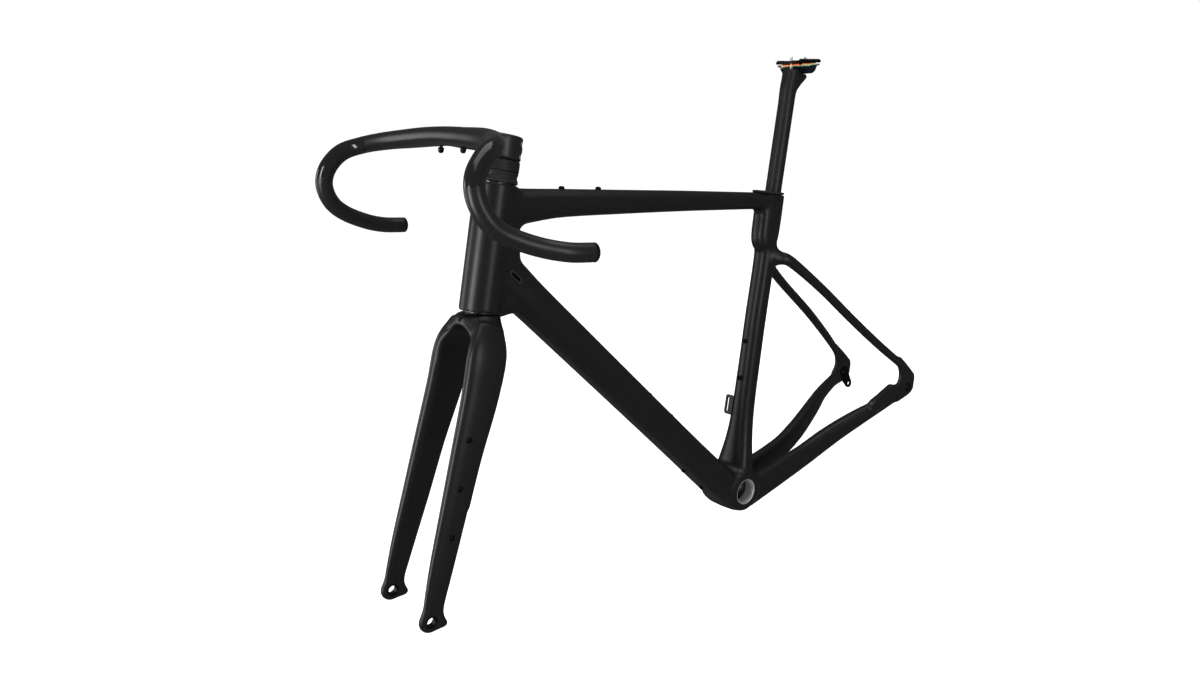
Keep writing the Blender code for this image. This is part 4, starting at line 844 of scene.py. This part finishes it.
def node_axis(name):
    """Centre and axis of a CAD bolt: the axis is the odd one out of its spread, towards its wide end."""
    points = np.array([v.co for v in frame["nodes"][name].data.vertices], float) / MM
    low, high = points.min(axis=0), points.max(axis=0)
    centre = points.mean(axis=0)
    spread, axes = np.linalg.eigh(np.cov((points - centre).T))
    odd = 2 if spread[2] - spread[1] > spread[1] - spread[0] else 0
    axis = axes[:, odd]
    along = (points - centre) @ axis
    radius = np.linalg.norm(points - centre - np.outer(along, axis), axis=1)
    if along[radius > 0.97 * radius.max()].mean() < (along.min() + along.max()) / 2:
        axis, along = -axis, -along
    return Vector(centre), Vector(axis), along.min(), along.max(), radius.max()


def bolt_shape(radius, low, seat, top):
    """Profile from the end of the shank up to the rim of the socket of a button head."""
    height = top - seat
    dome = [(radius * math.cos(a) ** 0.6, seat + height * (0.25 + 0.75 * math.sin(a)))
            for a in np.linspace(0, math.radians(62), 7)]
    rim = (dome[-1][0] * 0.9, dome[-1][1] + 0.05)
    return [(0.01, low), (BOLT_SHANK - 0.4, low), (BOLT_SHANK, low + 0.5), (BOLT_SHANK, seat),
            (radius * 0.97, seat), (radius, seat + height * 0.1), *dome, rim]


def make_bolt(node, body, material, slot, head):
    """Fine bolt in place of a CAD bolt, with a real hexagonal socket."""
    centre, axis, low, high, radius = node_axis(node)
    helper = Vector((0, 1, 0)) if abs(axis.y) < 0.9 else Vector((1, 0, 0))
    seat = high - head
    matrix = placed(centre, axis, forward=helper.cross(axis))
    sides, hexagon = 48, radius * 0.46
    rings = [circle(r, h, sides) for r, h in bolt_shape(radius, low, seat, high)]
    angle = np.linspace(0, math.tau, sides, endpoint=False)
    reach = hexagon * math.cos(math.pi / 6) / np.cos((angle + math.pi / 6) % (math.pi / 3) - math.pi / 6)
    floor = seat + (high - seat) * 0.35
    for scale, h in ((1.12, high), (1.0, high - 0.25), (1.0, floor), (0.01, floor - 0.4)):
        rings.append(circle(reach * scale, h, sides))
    shape = moved(ring_solid(rings), matrix)
    finish_piece(mesh_piece(node + "_detailed", shape, material, sharp=32), body, slot, node)


BOLT_HEADS = {"top_tube": 4.2, "handlebar": 7.0, "stem_clamp": 4.0, "fork_bolt": 1.8, "saddle_clamp": 2.3,
              "rear_brake": 2.2, "steerer_cap": 2.4}


def make_bolts():
    """Fine bolts for all CAD bolts but the seat clamp's, which is hidden under its cover."""
    for node, body in sorted((n, b) for b, members in frame["record"]["behaviour"]["bodies"].items()
                             for n in members if "bolt" in n):
        if node == "seat_clamp_bolt":
            continue
        bright = node.startswith(("stem_clamp", "rear_brake", "saddle_clamp"))
        head = next((h for start, h in BOLT_HEADS.items() if node.startswith(start)), BOLT_HEAD)
        make_bolt(node, body, STEEL if bright else BLACK_BOLT, "steel" if bright else "black_steel", head)


def make_clamp_cover():
    """Soft rubber cover of the seat clamp, crowned, with a lip round the post."""
    field = Field((60, -24, 470), (180, 24, 510), 0.8, 3.0)
    tail = [(-16, 18.4), (-32, 16.0), (-41, 11.0), (-45.0, 4.5)]
    outline = arc(0, 0, 19.4, -90, 90, 40) + tail + [(x, -y) for x, y in reversed(tail)]
    matrix = placed(on_seat(COVER_ON_SEAT_AXIS), axis=COVER_NORMAL)
    field.add(prism(outline, -1.6, 2.8, matrix))
    field.soften(1.9)
    field.cut(cylinder(POST_RADIUS + GAP, 470, 560, SEAT_AXIS))
    finish_piece(field.blur(2).piece("clamp_cover_rubber", RUBBER), "root", "rubber", "seat_clamp_cover")


def repaint():
    """Procedural finishes on the CAD nodes that stay as they are."""
    finishes = {"bearing": BEARING, "compression_ring": BEARING, "expander_plug": ALUMINIUM, "wedge": ALUMINIUM,
                "seat_clamp_bolt": BLACK_BOLT, "hanger": BLACK_BOLT, "derailleur_bracket": SATIN,
                "grommet": RUBBER}
    for name, piece in frame["nodes"].items():
        if piece.hide_render:
            continue
        for word, material in finishes.items():
            if word in name:
                piece.data.materials.clear()
                piece.data.materials.append(material)


# ---- Stage, light and camera ----------------------------------------------------------------------
def make_stage():
    bpy.ops.mesh.primitive_plane_add(size=160, location=(0, 0, -0.29))
    floor = bpy.context.object
    floor.name = "floor"
    n = Nodes("pale_floor").set(Roughness=0.7)
    n.link(n.ramp(n.noise(3.0), [(0.3, 0.90), (0.7, 0.93)]), n.shader.inputs["Base Color"])
    floor.data.materials.append(n.material)
    floor.visible_glossy = False


def softbox(name, place, target, size, power):
    light = bpy.data.lights.new(name, "AREA")
    light.shape = "RECTANGLE"
    light.size, light.size_y = size
    light.energy = power
    lamp = in_scene(name, light)
    lamp.location = place
    lamp.rotation_euler = (Vector(target) - Vector(place)).to_track_quat("-Z", "Y").to_euler()
    return lamp


def make_light():
    middle = (-0.05, 0.0, 0.32)
    softbox("front_strip", (-2.6, -0.15, 0.7), middle, (0.5, 1.8), 38)
    softbox("side_strip", (-0.25, -2.8, 0.9), middle, (0.5, 1.6), 16)
    softbox("overhead", (0.0, -0.3, 2.6), middle, (2.6, 1.6), 26)
    softbox("far_strip", (-1.9, 2.2, 0.6), middle, (0.7, 1.6), 13)
    softbox("back_fill", (1.8, 2.2, 1.6), middle, (1.4, 1.4), 25).visible_glossy = False
    sky = bpy.data.lights.new("sky", "SUN")
    sky.energy, sky.angle = 0.9, math.radians(120)
    in_scene("sky", sky).visible_glossy = False
    world = bpy.data.worlds.new("studio")
    bpy.context.scene.world = world
    world.use_nodes = True
    nodes, links = world.node_tree.nodes, world.node_tree.links
    background = nodes["Background"]
    background.inputs["Color"].default_value = (1.0, 1.0, 1.0, 1.0)
    path = nodes.new("ShaderNodeLightPath")
    strength = nodes.new("ShaderNodeMapRange")
    strength.inputs["To Min"].default_value = 1.0
    strength.inputs["To Max"].default_value = 0.10
    links.new(path.outputs["Is Glossy Ray"], strength.inputs["Value"])
    links.new(strength.outputs["Result"], background.inputs["Strength"])


def make_camera():
    """Camera at the front left of the bicycle, a little above it, rolled slightly."""
    camera = bpy.data.cameras.new("camera")
    camera.lens, camera.sensor_width = 26.68, 36.0
    camera.shift_x, camera.shift_y = -0.0211, -0.0036
    camera.clip_start = 0.05
    view = in_scene("camera", camera)
    azimuth, elevation, roll = (math.radians(a) for a in (-38.44, 16.78, -6.04))
    turn = Matrix.Rotation(azimuth, 4, "Z") @ Matrix.Rotation(math.pi / 2 - elevation, 4, "X") \
        @ Matrix.Rotation(roll, 4, "Z")
    view.matrix_world = Matrix.Translation((-0.9986, -1.0102, 0.7186)) @ turn
    bpy.context.scene.camera = view
    bpy.context.scene.view_settings.view_transform = "Standard"


make_camera()
make_light()
make_stage()
make_frame()
make_fork()
make_handlebar()
make_seatpost()
make_saddle_clamp()
make_head_parts()
make_bracket_inserts()
make_axle_rings()
make_bolts()
make_clamp_cover()
repaint()
